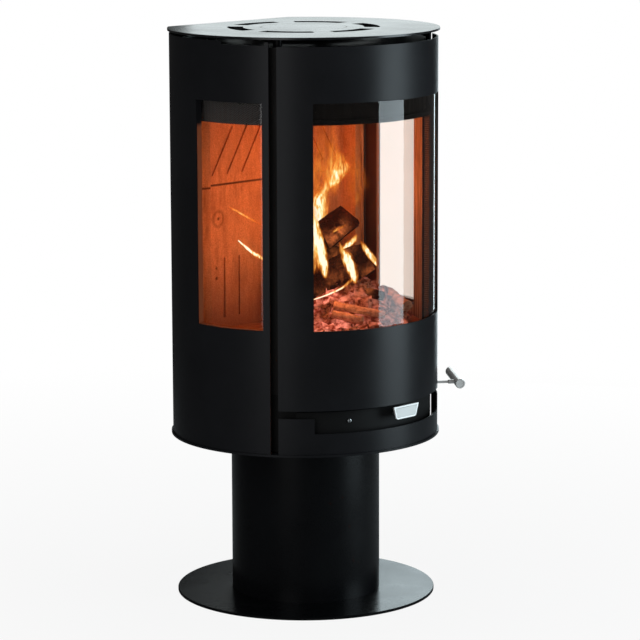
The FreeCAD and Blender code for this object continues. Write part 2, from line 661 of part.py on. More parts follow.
def top_plate():
    """D-shaped top with a ring of wide convection slots and the hole of the top flue outlet."""
    owner = body("top_plate")
    profile = sketch(owner, "XY_Plane", "top_outline", ROOF)
    radius = value_of(PLATE_R)
    back = value_of(PLATE_BACK)
    half = (radius ** 2 - back ** 2) ** 0.5
    arc = Part.Arc(V(-half, back, 0), V(0, -radius, 0), V(half, back, 0))
    curve = profile.addGeometry(arc)
    chord = profile.addGeometry(Part.LineSegment(V(half, back, 0), V(-half, back, 0)))
    profile.addConstraint(Sketcher.Constraint("Coincident", curve, 3, -1, 1))
    profile.addConstraint(Sketcher.Constraint("Coincident", curve, 2, chord, 1))
    profile.addConstraint(Sketcher.Constraint("Coincident", chord, 2, curve, 1))
    profile.addConstraint(Sketcher.Constraint("Horizontal", chord))
    datum = profile.addConstraint(Sketcher.Constraint("Radius", curve, radius))
    profile.setExpression(f"Constraints[{datum}]", sized(PLATE_R))
    datum = profile.addConstraint(Sketcher.Constraint("DistanceY", -1, 1, chord, 1, back))
    profile.setExpression(f"Constraints[{datum}]", sized(PLATE_BACK))
    pad(owner, profile, "top_sheet_metal", "top_sheet")

    flue = sketch(owner, "XY_Plane", "top_flue_hole", ROOF)
    circle(flue, "cover_radius + cover_play")
    pocket_through(owner, flue, "top_flue_cut")

    slot = sketch(owner, "XY_Plane", "ring_slot", ROOF)
    ring_sector(slot, "ring_slot_inner", "ring_slot_outer", "ring_slot_angle")
    first = pocket_through(owner, slot, "ring_slot_cut")
    polar_pattern(owner, first, "ring_slots", RING_SLOT_COUNT)
    return owner


RING_SLOT_COUNT = 6


def ring_sector(profile, inner, outer, half_angle):
    """Sketch outline of a ring sector about the front, bound by its radii and half angle."""
    def point(radius, sign):
        angle = f"({half_angle}) * 1 deg"
        return f"{sign} * {radius} * sin({angle})", f"-{radius} * cos({angle})"

    def drawn(pair):
        return V(value_of(pair[0]), value_of(pair[1]), 0)

    order = ((outer, -1), (outer, 1), (inner, 1), (inner, -1))
    corners = [drawn(point(radius, sign)) for radius, sign in order]
    outer_arc = profile.addGeometry(Part.Arc(corners[0], V(0, -value_of(outer), 0), corners[1]))
    right = profile.addGeometry(Part.LineSegment(corners[1], corners[2]))
    inner_arc = profile.addGeometry(Part.Arc(corners[3], V(0, -value_of(inner), 0), corners[2]))
    left = profile.addGeometry(Part.LineSegment(corners[3], corners[0]))
    for arc in (outer_arc, inner_arc):
        profile.addConstraint(Sketcher.Constraint("Coincident", arc, 3, -1, 1))
    profile.addConstraint(Sketcher.Constraint("Coincident", outer_arc, 2, right, 1))
    profile.addConstraint(Sketcher.Constraint("Coincident", right, 2, inner_arc, 2))
    profile.addConstraint(Sketcher.Constraint("Coincident", inner_arc, 1, left, 1))
    profile.addConstraint(Sketcher.Constraint("Coincident", left, 2, outer_arc, 1))
    fix_point(profile, right, 1, *point(outer, 1))
    fix_point(profile, right, 2, *point(inner, 1))
    for end, radius in ((1, inner), (2, outer)):
        x, y = point(radius, -1)
        datum = profile.addConstraint(Sketcher.Constraint("DistanceX", -1, 1, left, end, value_of(x)))
        profile.setExpression(f"Constraints[{datum}]", sized(x))


def flue_top():
    """Flush cover of the unused top outlet and the collar on the firebox that carries it."""
    cover = cylinder("flue_cover", "cover_radius", ROOF, f"({ROOF} + top_sheet)")
    outer = "(cover_radius - collar_inset)"
    ring = cylinder("collar_outer", outer, CROWN_TOP, ROOF)
    bore = cylinder("collar_bore", f"({outer} - collar_wall)", f"({CROWN_TOP} - cut_over)",
                    f"({ROOF} + cut_over)")
    return [cover, cut("top_collar", ring, bore)]


def top_spacers():
    posts = []
    rows = {"front": f"(spacer_front_gap - {SHELL_R})", "rear": f"({FIREBOX_BACK} - spacer_rear_gap)"}
    for row, y in rows.items():
        for side, sign in SIDES:
            x = f"{sign} * ({SHELL_R} - spacer_side_gap)"
            posts.append(cylinder(f"spacer_{row}_{side}", "spacer_radius", CROWN_TOP, ROOF, x, y))
    return group("top_spacers", *posts)


def panel_brackets():
    """Angle tabs between the firebox walls and the side panels."""
    tabs = []
    first = "(bracket_angle - bracket_spread / 2)"
    for side, sign in SIDES:
        start, end = side_span(sign, first, f"({first} + bracket_spread)")
        for row in ("low", "high"):
            low = f"({DECK} + bracket_{row})"
            high = f"({low} + bracket_sheet)"
            tabs.append(shell_sector(f"bracket_{side}_{row}", SHELL_R, SKIN_IN, low, high, start, end))
    return group("panel_brackets", *tabs)


def stem_passage(name, y0, y1):
    """Tool for the slots that guide the air stem."""
    return box(name, "(-stem_half_width - stem_play)", "(stem_half_width + stem_play)", y0, y1,
               f"({STEM_LOW} - stem_play)", f"({STEM_HIGH} + stem_play)")


def air_box():
    """Upright D-shaped wall of the air chamber under the firebox."""
    blank = d_plate("air_box_blank", SHELL_R, SHELL_BACK, DECK, ASH_UNDER)
    hollow = d_plate("air_box_hollow", SHELL_IN, FIREBOX_BACK, f"({DECK} - cut_over)",
                     f"({ASH_UNDER} + cut_over)")
    inlet = along_y("air_box_inlet", "air_bore", f"({FIREBOX_BACK} - cut_over)",
                    f"({SHELL_BACK} + cut_over)", AIR_LEVEL)
    passage = stem_passage("air_box_passage", f"(-{SHELL_R} - cut_over)", f"(-{SHELL_IN} + cut_over)")
    return cut("air_box", blank, hollow, inlet, passage)


def slot_backplate():
    """Curved dark plate that closes the view behind the air slot."""
    outer = "(skin_radius - backplate_gap)"
    inner = f"({outer} - backplate_sheet)"
    plate = shell_sector("backplate_sheet_metal", inner, outer, DECK, f"({DOOR_LOW} - backplate_drop)",
                         "(-backplate_angle)", "backplate_angle")
    passage = stem_passage("backplate_passage", f"(-{outer} - cut_over)", f"(-{inner} + cut_over)")
    return cut("slot_backplate", plate, passage)


def air_valve_plate():
    plate = d_plate("valve_blank", SHELL_IN, FIREBOX_BACK, f"({DECK} + valve_rise)", VALVE_TOP)
    ports = []
    for side, sign in SIDES:
        left = f"({sign} * port_offset - port_length / 2)"
        ports.append(box(f"port_{side}", left, f"({left} + port_length)", "port_place",
                         "(port_place + port_width)", f"({DECK} + valve_rise - cut_over)",
                         f"({VALVE_TOP} + cut_over)"))
    return cut("air_valve_plate", plate, *ports)


def air_control():
    """Pull tab with rounded lower corners, flat stem and damper plate."""
    damper = box("air_damper", "-damper_half_width", "damper_half_width", "damper_front",
                 "(damper_front + damper_depth)", DAMPER_LOW, STEM_LOW)
    face = "(skin_radius + tab_reach)"
    stem = box("air_stem", "-stem_half_width", "stem_half_width", f"(-{face} + tab_sheet)",
               "(damper_front + damper_depth)", STEM_LOW, STEM_HIGH)
    owner = body("air_tab")
    top = f"({DOOR_LOW} - tab_drop)"
    low = f"({top} - tab_height)"
    profile = sketch(owner, "XZ_Plane", "tab_outline", f"{face} - tab_sheet")
    outline(profile, [("-tab_bottom_width / 2", low), ("tab_bottom_width / 2", low),
                      ("tab_top_width / 2", top), ("-tab_top_width / 2", top)])
    plate = pad(owner, profile, "tab_plate", "tab_sheet")
    doc.recompute()
    lowest = value_of(low)
    corners = [f"Edge{index}" for index, edge in enumerate(plate.Shape.Edges, start=1)
               if all(abs(vertex.Z - lowest) < TOUCH for vertex in edge.Vertexes)
               and abs(edge.Vertexes[0].Y - edge.Vertexes[1].Y) > TOUCH]
    rounding = owner.newObject("PartDesign::Fillet", "tab_rounding")
    rounding.Base = (plate, corners)
    bind(rounding, Radius="tab_corner")
    owner.Tip = rounding
    return [damper, stem, owner]


def spigot(name, radius, wall, level):
    """Duct from the firebox or air box to a slightly wider spigot behind the rear panel."""
    step = f"({REAR_FACE} + spigot_start)"
    end = f"({REAR_FACE} + flue_reach)"
    duct = along_y(f"{name}_duct", f"({radius} - spigot_step)", SHELL_BACK, step, level)
    socket = along_y(f"{name}_end", radius, step, end, level)
    bore = along_y(f"{name}_bore", f"({radius} - spigot_step - {wall})", f"({SHELL_BACK} - cut_over)",
                   f"({end} + cut_over)", level)
    return cut(name, fuse(f"{name}_blank", duct, socket), bore)


def ash_parts():
    """Steel floor of the ash chamber and the open pan that stands on it."""
    floor = d_plate("ash_floor", SHELL_R, SHELL_BACK, ASH_UNDER, ASH_TOP)
    owner = body("ash_pan")
    profile = sketch(owner, "XY_Plane", "pan_outline", ASH_TOP)
    half = f"({SHELL_IN} - pan_side_gap)"
    front = f"(pan_front_gap - {SHELL_IN})"
    rear = f"({FIREBOX_BACK} - pan_rear_gap)"
    outline(profile, [(f"-{half}", front), (half, front), (half, rear), (f"-{half}", rear)])
    block = pad(owner, profile, "pan_block", "pan_height")
    doc.recompute()
    rim = [f"Face{index}" for index, face in enumerate(block.Shape.Faces, start=1)
           if face.normalAt(0, 0).z > FACING]
    walls = owner.newObject("PartDesign::Thickness", "pan_walls")
    walls.Base = (block, rim)
    walls.Reversed = True
    bind(walls, Value="pan_sheet")
    owner.Tip = walls
    return [floor, owner]


def firebox_walls():
    """Curved front frame with the door mouth and the two side walls with their window openings."""
    frame = shell_sector("frame_sheet", SHELL_IN, SHELL_R, ASH_TOP, CROWN, "(-frame_angle)", "frame_angle")
    mouth = window_cutter("frame_mouth", SHELL_R, MOUTH_LOW, MOUTH_HIGH, "(-mouth_angle)", "mouth_angle")
    ash_low = f"({ASH_TOP} + ash_mouth_sill)"
    ash_high = f"({ASH_TOP} + pan_height + ash_mouth_play)"
    ash_mouth = window_cutter("frame_ash_mouth", SHELL_R, ash_low, ash_high, "(-ash_mouth_angle)",
                              "ash_mouth_angle")
    pieces = [cut("firebox_front_frame", frame, mouth, ash_mouth)]
    reach = f"({SHELL_R} + cut_over)"
    for side, sign in SIDES:
        start, end = side_span(sign, "frame_angle", HALF_TURN)
        wall = shell_sector(f"{side}_wall_sheet", SHELL_IN, SHELL_R, ASH_TOP, CROWN, start, end)
        behind = box(f"{side}_wall_behind", f"-{reach}", reach, FIREBOX_BACK, reach,
                     f"({ASH_TOP} - cut_over)", f"({CROWN} + cut_over)")
        start, end = side_span(sign, OPEN_START, OPEN_END)
        opening = window_cutter(f"{side}_wall_opening", SHELL_R, SIDE_LOW, MOUTH_HIGH, start, end)
        pieces.append(cut(f"firebox_{side}_wall", wall, behind, opening))
    return pieces


def firebox_plates():
    """Back, floor and top of the firebox."""
    round_bar = cylinder("back_round", SHELL_R, ASH_TOP, CROWN)
    slab = box("back_slab", f"-{SHELL_R}", SHELL_R, FIREBOX_BACK, SHELL_BACK, ASH_TOP, CROWN)
    flue = along_y("back_flue", "(flue_radius - spigot_step - flue_sheet)", f"({FIREBOX_BACK} - cut_over)",
                   f"({SHELL_BACK} + cut_over)", FLUE_LEVEL)
    back = cut("firebox_back", common("back_blank", slab, round_bar), flue)
    floor = d_plate("floor_blank", SHELL_IN, FIREBOX_BACK, FIRE_FLOOR, FIRE_FLOOR_TOP)
    floor = cut("firebox_floor", floor, ash_hole("floor_ash_hole", "0", f"({FIRE_FLOOR} - cut_over)",
                                                 f"({FIRE_FLOOR_TOP} + cut_over)"))
    top = d_plate("firebox_top_blank", SHELL_R, SHELL_BACK, CROWN, CROWN_TOP)
    outlet = cylinder("crown_outlet", "(cover_radius - collar_inset - collar_wall)", f"({CROWN} - cut_over)",
                      f"({CROWN_TOP} + cut_over)")
    return [back, floor, cut("firebox_top", top, outlet)]


def ash_hole(name, border, low, high):
    """Rectangular tool over the ash hole, larger by a border all round."""
    half = f"(floor_hole_width / 2 + {border})"
    depth = f"(floor_hole_depth / 2 + {border})"
    front = f"(floor_hole_centre - {depth})"
    return box(name, f"-{half}", half, front, f"(floor_hole_centre + {depth})", low, high)


def back_lining_slab(name, low, high):
    """Slab of the back lining, with ends that follow the firebox wall."""
    slab = box(f"{name}_slab", f"-{LINING_R}", LINING_R, LINING_FACE, LINING_BACK, low, high)
    return common(f"{name}_blank", slab, cylinder(f"{name}_round", LINING_R, low, high))


def lining_grooves(row, low, slant):
    """Groups of grooves on both halves of a slab, upright or leaning towards the middle."""
    tools = []
    for side, sign in SIDES:
        for count in range(GROOVE_COUNT):
            groove = bind(new("Part::Box", f"{row}_groove_{side}_{count}"), Length="rib_width",
                          Width="rib_depth + cut_over", Height=f"{row}_length")
            x = f"{sign} * ({row}_first + rib_pitch * {count}) - rib_width / 2"
            front = f"({LINING_FACE} - cut_over)"
            tools.append(place(groove, x, front, f"({low} + rib_rise)", f"{-sign} * ({slant})", V(0, 1, 0)))
    return tools


GROOVE_COUNT = 3


def linings():
    """Heat-resistant slabs at the back, in the rear corners and on the floor."""
    low = f"({FIRE_FLOOR_TOP} + floor_lining_thickness)"
    lower = back_lining_slab("lining_lower", FIRE_FLOOR_TOP, f"({LINING_SPLIT} - lining_joint)")
    upper = back_lining_slab("lining_upper", LINING_SPLIT, LINING_TOP)
    pieces = [cut("back_lining_lower", lower, *lining_grooves("upright", low, "0")),
              cut("back_lining_upper", upper, *lining_grooves("slanted", LINING_SPLIT, "rib_slant"))]
    front = f"({LINING_FACE} - lining_play)"
    reach = f"({LINING_R} + cut_over)"
    corner = f"(90 + asin(({LINING_FACE} - side_lining_depth) / {LINING_R}) / 1 deg)"
    for side, sign in SIDES:
        start, end = side_span(sign, corner, HALF_TURN)
        column = shell_sector(f"{side}_lining_column", f"({LINING_R} - side_lining_thickness)", LINING_R, low,
                              LINING_TOP, start, end)
        behind = box(f"{side}_lining_behind", f"-{reach}", reach, front, reach, f"({low} - cut_over)",
                     f"({LINING_TOP} + cut_over)")
        pieces.append(cut(f"{side}_side_lining", column, behind))
    floor = d_plate("floor_lining_blank", LINING_R, front, FIRE_FLOOR_TOP, low)
    seat = ash_hole("floor_lining_seat", "(grate_border + grate_play)", f"({FIRE_FLOOR_TOP} - cut_over)",
                    f"({low} + cut_over)")
    pieces.append(cut("floor_lining", floor, seat))
    return pieces


def grate():
    """Cast grate over the ash hole: a rim with slots between bars."""
    owner = body("grate")
    profile = sketch(owner, "XY_Plane", "grate_outline", FIRE_FLOOR_TOP)
    half = "(floor_hole_width / 2 + grate_border)"
    depth = "(floor_hole_depth / 2 + grate_border)"
    front = f"floor_hole_centre - {depth}"
    rear = f"floor_hole_centre + {depth}"
    outline(profile, [(f"-{half}", front), (half, front), (half, rear), (f"-{half}", rear)])
    pad(owner, profile, "grate_block", "grate_thickness")
    slot = sketch(owner, "XY_Plane", "grate_slot_outline", FIRE_FLOOR_TOP)
    left = f"(-grate_slot / 2 - (grate_slot + grate_bar) * {(GRATE_SLOTS - 1) / 2})"
    near = "floor_hole_centre - floor_hole_depth / 2"
    far = "floor_hole_centre + floor_hole_depth / 2"
    outline(slot, [(left, near), (f"{left} + grate_slot", near), (f"{left} + grate_slot", far), (left, far)])
    first = pocket_through(owner, slot, "grate_slot_cut")
    row = owner.newObject("PartDesign::LinearPattern", "grate_slots")
    row.Originals = [first]
    row.Direction = (slot, ["H_Axis"])
    row.Occurrences = GRATE_SLOTS
    bind(row, Length=f"(grate_slot + grate_bar) * {GRATE_SLOTS - 1}")
    owner.Tip = row
    return owner


GRATE_SLOTS = 8


def baffles():
    """Lower baffle slab on the back lining and the steel deflector on posts above it."""
    half = f"({LINING_R} - baffle_side_gap)"
    front = f"(baffle_front_gap - {LINING_R})"
    slab = box("baffle_slab", f"-{half}", half, front, LINING_BACK, LINING_TOP, BAFFLE_TOP)
    lower = common("lower_baffle", slab, cylinder("baffle_round", LINING_R, LINING_TOP, BAFFLE_TOP))
    half = f"({LINING_R} - deflector_side_gap)"
    rear = f"({FIREBOX_BACK} - deflector_rear_gap)"
    plate = box("deflector_plate", f"-{half}", half, f"(deflector_front_gap - {LINING_R})", rear, DEFLECTOR,
                f"({DEFLECTOR} + deflector_sheet)")
    posts = []
    for side, sign in SIDES:
        x = f"{sign} * ({half} - post_inset)"
        for row, y in (("front", f"({front} + post_inset)"), ("rear", f"({rear} - post_inset)")):
            name = f"deflector_post_{row}_{side}"
            posts.append(cylinder(name, "post_radius", BAFFLE_TOP, DEFLECTOR, x, y))
    return [lower, fuse("upper_baffle", plate, *posts)]


def side_glass(side, sign):
    """Curved side pane with the gasket it bears on and the clips that hold it to the firebox wall."""
    start, end = side_span(sign, f"({OPEN_START} - side_glass_lap)", f"({OPEN_END} + side_glass_lap)")
    low = f"({SILL} - side_glass_lap_height)"
    high = f"({HEAD} + side_glass_lap_height)"
    glass = shell_sector(f"{side}_side_glass", SIDE_GLASS_IN, SIDE_GLASS_OUT, low, high, start, end)
    tape = shell_sector(f"{side}_tape", SHELL_R, SIDE_GLASS_IN, low, high, start, end)
    first, last = side_span(sign, OPEN_START, OPEN_END)
    opening = window_cutter(f"{side}_tape_opening", SIDE_GLASS_IN, SIDE_LOW, MOUTH_HIGH, first, last)
    gasket = cut(f"{side}_glass_gasket", tape, opening)
    clips = []
    for count, centre in enumerate((f"({OPEN_START} + clip_angle)", f"({OPEN_END} - clip_angle)")):
        first, last = side_span(sign, f"({centre} - clip_angle / 2)", f"({centre} + clip_angle / 2)")
        for row in ("low", "high"):
            if row == "low":
                foot = (f"({low} - clip_play - clip_rise)", f"({low} - clip_play)")
                tongue = (f"({low} - clip_play - clip_rise)", f"({low} + clip_bite)")
            else:
                foot = (f"({high} + clip_play)", f"({high} + clip_play + clip_rise)")
                tongue = (f"({high} - clip_bite)", f"({high} + clip_play + clip_rise)")
            name = f"{side}_clip_{count}_{row}"
            base = shell_sector(name + "_foot", SHELL_R, SIDE_GLASS_OUT, *foot, first, last)
            lap = shell_sector(name + "_tongue", SIDE_GLASS_OUT, CLIP_OUT, *tongue, first, last)
            clips.append(fuse(name, base, lap))
    return [glass, gasket, group(f"{side}_glass_clips", *clips)]


def door():
    """Curved door: skin, tray that holds the glass, two sill plates below it, gaskets, lugs and boss."""
    skin = shell_sector("door_sheet", SKIN_IN, "skin_radius", DOOR_LOW, DOOR_HIGH, "(-door_angle)",
                        "door_angle")
    window = window_cutter("door_window", "skin_radius", SILL, HEAD, "(-window_angle)", "window_angle")
    skin = cut("door_skin", skin, window)

    low = f"({DOOR_LOW} + tray_margin)"
    high = f"({DOOR_HIGH} - tray_margin)"
    seat = f"({SILL} - tray_window_lap)"
    fold = f"(tray_sheet / {SKIN_IN} * 180 / pi)"
    folds = (f"({low} + tray_sheet)", f"({high} - tray_sheet)", f"(-tray_angle + {fold})",
             f"(tray_angle - {fold})")
    blank = shell_sector("tray_blank", TRAY_IN, SKIN_IN, seat, high, "(-tray_angle)", "tray_angle")
    hollow = shell_sector("tray_hollow", DOOR_GLASS_IN, f"({SKIN_IN} + cut_over)", *folds)
    opening = window_cutter("tray_opening", SKIN_IN, f"({seat} - cut_over)",
                            f"({HEAD} + tray_window_lap)", "(-tray_window_angle)", "tray_window_angle")
    tray = cut("door_tray", blank, hollow, opening)
    sills = []
    for side, start, end in (("left", "(-tray_angle)", "(-sill_seam)"), ("right", "sill_seam", "tray_angle")):
        blank = shell_sector(f"{side}_sill_blank", TRAY_IN, SKIN_IN, low, f"({seat} - sill_play)", start, end)
        hollow = shell_sector(f"{side}_sill_hollow", DOOR_GLASS_IN, f"({SKIN_IN} + cut_over)", *folds)
        sills.append(cut(f"door_{side}_sill", blank, hollow))

    pane = (f"({SILL} - door_glass_lap)", f"({HEAD} + door_glass_lap)", "(-door_glass_angle)",
            "door_glass_angle")
    glass = shell_sector("door_glass", DOOR_GLASS_IN, DOOR_GLASS_OUT, *pane)
    tape = shell_sector("door_tape", DOOR_GLASS_OUT, SKIN_IN, *pane)
    half = "(window_angle + door_gasket_lap)"
    sight = window_cutter("door_tape_opening", SKIN_IN, f"({SILL} - door_gasket_rise)",
                          f"({HEAD} + door_gasket_rise)", f"(-{half})", half)
    glass_gasket = cut("door_glass_gasket", tape, sight)

    low = f"({ASH_TOP} - rope_drop)"
    high = f"({MOUTH_HIGH} + rope_lap)"
    rope = shell_sector("rope_blank", f"({SHELL_R} + rope_play)", TRAY_IN, f"({low} - rope_width)",
                        f"({high} + rope_width)", "(-rope_outer_angle)", "rope_outer_angle")
    rope_hole = window_cutter("rope_opening", TRAY_IN, low, high, "(-rope_inner_angle)", "rope_inner_angle")
    rope_gasket = cut("door_rope_gasket", rope, rope_hole)
    return [skin, tray, *sills, glass, glass_gasket, rope_gasket, hinge_lugs(), handle_boss()]


def hinge_point():
    """Plan position of the hinge axis."""
    angle = "(hinge_angle * 1 deg)"
    return f"(-{HINGE_R} * sin{angle})", f"(-{HINGE_R} * cos{angle})"


def hinge_lugs():
    """Plates on the door with the eyes that turn on the hinge pins."""
    x, y = hinge_point()
    lugs = []
    for row in ("low", "high"):
        low = f"({DOOR_LOW} + hinge_{row} + hinge_gap)"
        high = f"({low} + hinge_sheet)"
        eye = cylinder(f"lug_eye_{row}", "hinge_eye", low, high, x, y)
        reach = f"(({TRAY_IN} * (hinge_angle - tray_angle) * pi / 180))"
        web = polar_box(f"lug_web_{row}", "(-hinge_angle)", TRAY_IN, "skin_radius", "0", reach, low, high)
        inside = cylinder(f"lug_inside_{row}", SKIN_IN, f"({low} - cut_over)", f"({high} + cut_over)")
        bore = cylinder(f"lug_bore_{row}", "(hinge_pin_radius + hinge_play)", f"({low} - cut_over)",
                        f"({high} + cut_over)", x, y)
        edge = wedge(f"lug_tray_{row}", f"({SKIN_IN} + cut_over)", f"({low} - cut_over)",
                     f"({high} + cut_over)", "(-tray_angle)", "0")
        plate = common(f"lug_plate_{row}", fuse(f"lug_blank_{row}", eye, web), inside)
        lugs.append(cut(f"lug_{row}", plate, bore, edge))
    return group("door_hinge_lugs", *lugs)


def hinge_on_body():
    """Brackets on the firebox frame and the headed pins that stand in them."""
    x, y = hinge_point()
    brackets = []
    pins = []
    for row in ("low", "high"):
        high = f"({DOOR_LOW} + hinge_{row})"
        low = f"({high} - hinge_sheet)"
        eye = cylinder(f"bracket_eye_{row}", "hinge_eye", low, high, x, y)
        arm = polar_box(f"bracket_arm_{row}", "(-hinge_angle)", f"({SHELL_R} - cut_over)", HINGE_R,
                        "-hinge_arm_left", "hinge_arm_right", low, high)
        through = (f"({low} - cut_over)", f"({high} + cut_over)")
        frame = cylinder(f"bracket_frame_{row}", SHELL_R, *through)
        bore = cylinder(f"bracket_bore_{row}", "hinge_pin_radius", *through, x, y)
        brackets.append(cut(f"hinge_bracket_{row}", fuse(f"bracket_blank_{row}", eye, arm), frame, bore))
        shank = cylinder(f"pin_shank_{row}", "hinge_pin_radius", f"({low} - pin_head_height)",
                         f"({high} + hinge_gap + hinge_sheet)", x, y)
        head = cylinder(f"pin_head_{row}", "pin_head_radius", f"({low} - pin_head_height)", low, x, y)
        pins.append(fuse(f"hinge_pin_{row}", shank, head))
    return [group("hinge_brackets", *brackets), group("hinge_pins", *pins)]


def handle_frame(owner):
    """Turn a body about the stove's axis so that its own X axis is the handle's spindle."""
    return place(owner, z=HANDLE_LEVEL, turn="handle_angle - 90")


def handle_boss():
    """Block on the door's face that carries the spindle just under the door's lower edge."""
    owner = handle_frame(body("boss_block"))
    profile = sketch(owner, "YZ_Plane", "boss_outline", "skin_radius - cut_over")
    low = "handle_drop - boss_drop"
    high = "handle_drop + boss_rise"
    outline(profile, [("-boss_half_width", low), ("boss_half_width", low), ("boss_half_width", high),
                      ("-boss_half_width", high)])
    block = pad(owner, profile, "boss_pad", "boss_reach + cut_over")
    doc.recompute()
    front = [f"Face{index}" for index, face in enumerate(block.Shape.Faces, start=1)
             if face.normalAt(0, 0).x > FACING]
    rounding = owner.newObject("PartDesign::Fillet", "boss_rounding")
    rounding.Base = (block, front)
    bind(rounding, Radius="boss_edge")
    bore = sketch(owner, "YZ_Plane", "boss_bore", "skin_radius")
    circle(bore, "spindle_radius + spindle_play")
    pocket_through(owner, bore, "boss_bore_cut")
    casing = cylinder("boss_casing", "skin_radius", f"({DOOR_LOW} - boss_drop - cut_over)",
                      f"({DOOR_LOW} + boss_rise + cut_over)")
    return cut("handle_boss", owner, casing)


def handle():
    """Steel spindle with its ferrule, the cross bar and the latch finger on the spindle's inner end."""
    spindle = handle_frame(body("handle_spindle"))
    profile = sketch(spindle, "XZ_Plane", "spindle_section")
    bar_face = "(skin_radius + bar_reach - bar_radius)"
    ferrule = f"({bar_face} - ferrule_length)"
    outline(profile, [(FINGER_IN, "0"), (f"{bar_face} + spindle_grip", "0"),
                      (f"{bar_face} + spindle_grip", "spindle_radius"), (bar_face, "spindle_radius"),
                      (bar_face, "ferrule_radius"), (ferrule, "ferrule_radius"), (ferrule, "spindle_radius"),
                      (FINGER_IN, "spindle_radius")])
    turned(spindle, profile, "spindle_turning")

    bar = handle_frame(body("bar_blank"))
    profile = sketch(bar, "YZ_Plane", "bar_section", "skin_radius + bar_reach")
    front = "-bar_front"
    rear = "bar_rear"
    inner = "(bar_radius - bar_rim)"
    outline(profile, [(f"{front} + bar_dish", "0"), (f"{rear} - bar_dish", "0"),
                      (f"{rear} - bar_dish", inner), (rear, inner), (rear, "bar_radius - bar_edge"),
                      (f"{rear} - bar_edge", "bar_radius"), (f"{front} + bar_edge", "bar_radius"),
                      (front, "bar_radius - bar_edge"), (front, inner), (f"{front} + bar_dish", inner)])
    profile.setExpression("AttachmentOffset.Rotation.Angle", sized("bar_tilt"))
    turned(bar, profile, "bar_turning")
    seat = handle_frame(body("bar_seat"))
    hollow = sketch(seat, "YZ_Plane", "bar_seat_outline", "skin_radius")
    circle(hollow, "ferrule_radius")
    pad(seat, hollow, "bar_seat_ferrule", f"{bar_face} - skin_radius")
    pin = sketch(seat, "YZ_Plane", "bar_seat_pin", "skin_radius")
    circle(pin, "spindle_radius")
    pad(seat, pin, "bar_seat_shank", f"{bar_face} + spindle_grip - skin_radius")
    bar_piece = cut("handle_bar", bar, seat)

    finger_blank = handle_frame(body("finger_blank"))
    profile = sketch(finger_blank, "YZ_Plane", "finger_outline", FINGER_IN)
    outline(profile, [("0", "-finger_half_width"), ("finger_length", "-finger_half_width"),
                      ("finger_length", "finger_half_width"), ("0", "finger_half_width")])
    pad(finger_blank, profile, "finger_arm", "finger_sheet")
    hub = sketch(finger_blank, "YZ_Plane", "finger_hub_outline", FINGER_IN)
    circle(hub, "finger_half_width + spindle_radius / 2")
    pad(finger_blank, hub, "finger_hub", "finger_sheet")
    eye = sketch(finger_blank, "YZ_Plane", "finger_eye", FINGER_IN)
    circle(eye, "spindle_radius")
    pocket_through(finger_blank, eye, "finger_eye_cut")
    finger_blank.Label = "latch_finger"
    return [spindle, bar_piece, finger_blank]


def latch_keeper():
    """Open-topped hook on the body that the latch finger drops into."""
    high = f"({HANDLE_LEVEL} - finger_half_width - keeper_clear)"
    low = f"({high} - keeper_depth)"
    start = "(handle_angle + keeper_start)"
    end = f"({start} + keeper_span)"
    lip_in = f"({FINGER_OUT} + keeper_lip_gap)"
    lip_out = f"({lip_in} + keeper_sheet)"
    back = f"({FINGER_IN} - keeper_lip_gap)"
    foot = f"({low} + keeper_sheet)"
    blank = shell_sector("keeper_blank", SHELL_R, lip_out, low, high, start, end)
    channel = shell_sector("keeper_channel", back, lip_in, foot, f"({high} + cut_over)",
                           f"({start} - keeper_span)", f"({end} + keeper_span)")
    return cut("latch_keeper", blank, channel)


def flatten(items):
    for item in items:
        if isinstance(item, list):
            yield from flatten(item)
        else:
            yield item


pieces = list(flatten([
    floor_plate(), pedestal(), pedestal_bolts(), bottom_plate(), front_skirt(),
    [side_panel(side, sign) for side, sign in SIDES],
    rear_panel(), rear_heat_shield(), top_plate(), flue_top(), top_spacers(), panel_brackets(),
    air_box(), slot_backplate(), air_valve_plate(), air_control(),
    spigot("air_spigot", "air_radius", "air_sheet", AIR_LEVEL),
    spigot("flue_spigot", "flue_radius", "flue_sheet", FLUE_LEVEL),
    ash_parts(), firebox_walls(), firebox_plates(), linings(), grate(), baffles(),
    [side_glass(side, sign) for side, sign in SIDES],
    door(), hinge_on_body(), handle(), latch_keeper(),
]))
doc.recompute()

# Every object has to be sound before anything is written.
failed = [obj.Name for obj in doc.Objects if "Invalid" in obj.State or "Error" in obj.State]
if failed:
    raise RuntimeError("failed objects: " + ", ".join(failed))
for piece in pieces:
    if piece.Shape.isNull() or not piece.Shape.isValid() or not piece.Shape.Solids:
        raise RuntimeError("unsound piece: " + piece.Label)

os.makedirs("parts", exist_ok=True)
for piece in pieces:
    piece.Shape.exportStep(f"parts/{piece.Label}.step")
print(len(pieces), "pieces")
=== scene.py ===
import math
import bmesh
import bpy
from mathutils import Matrix, Vector, noise


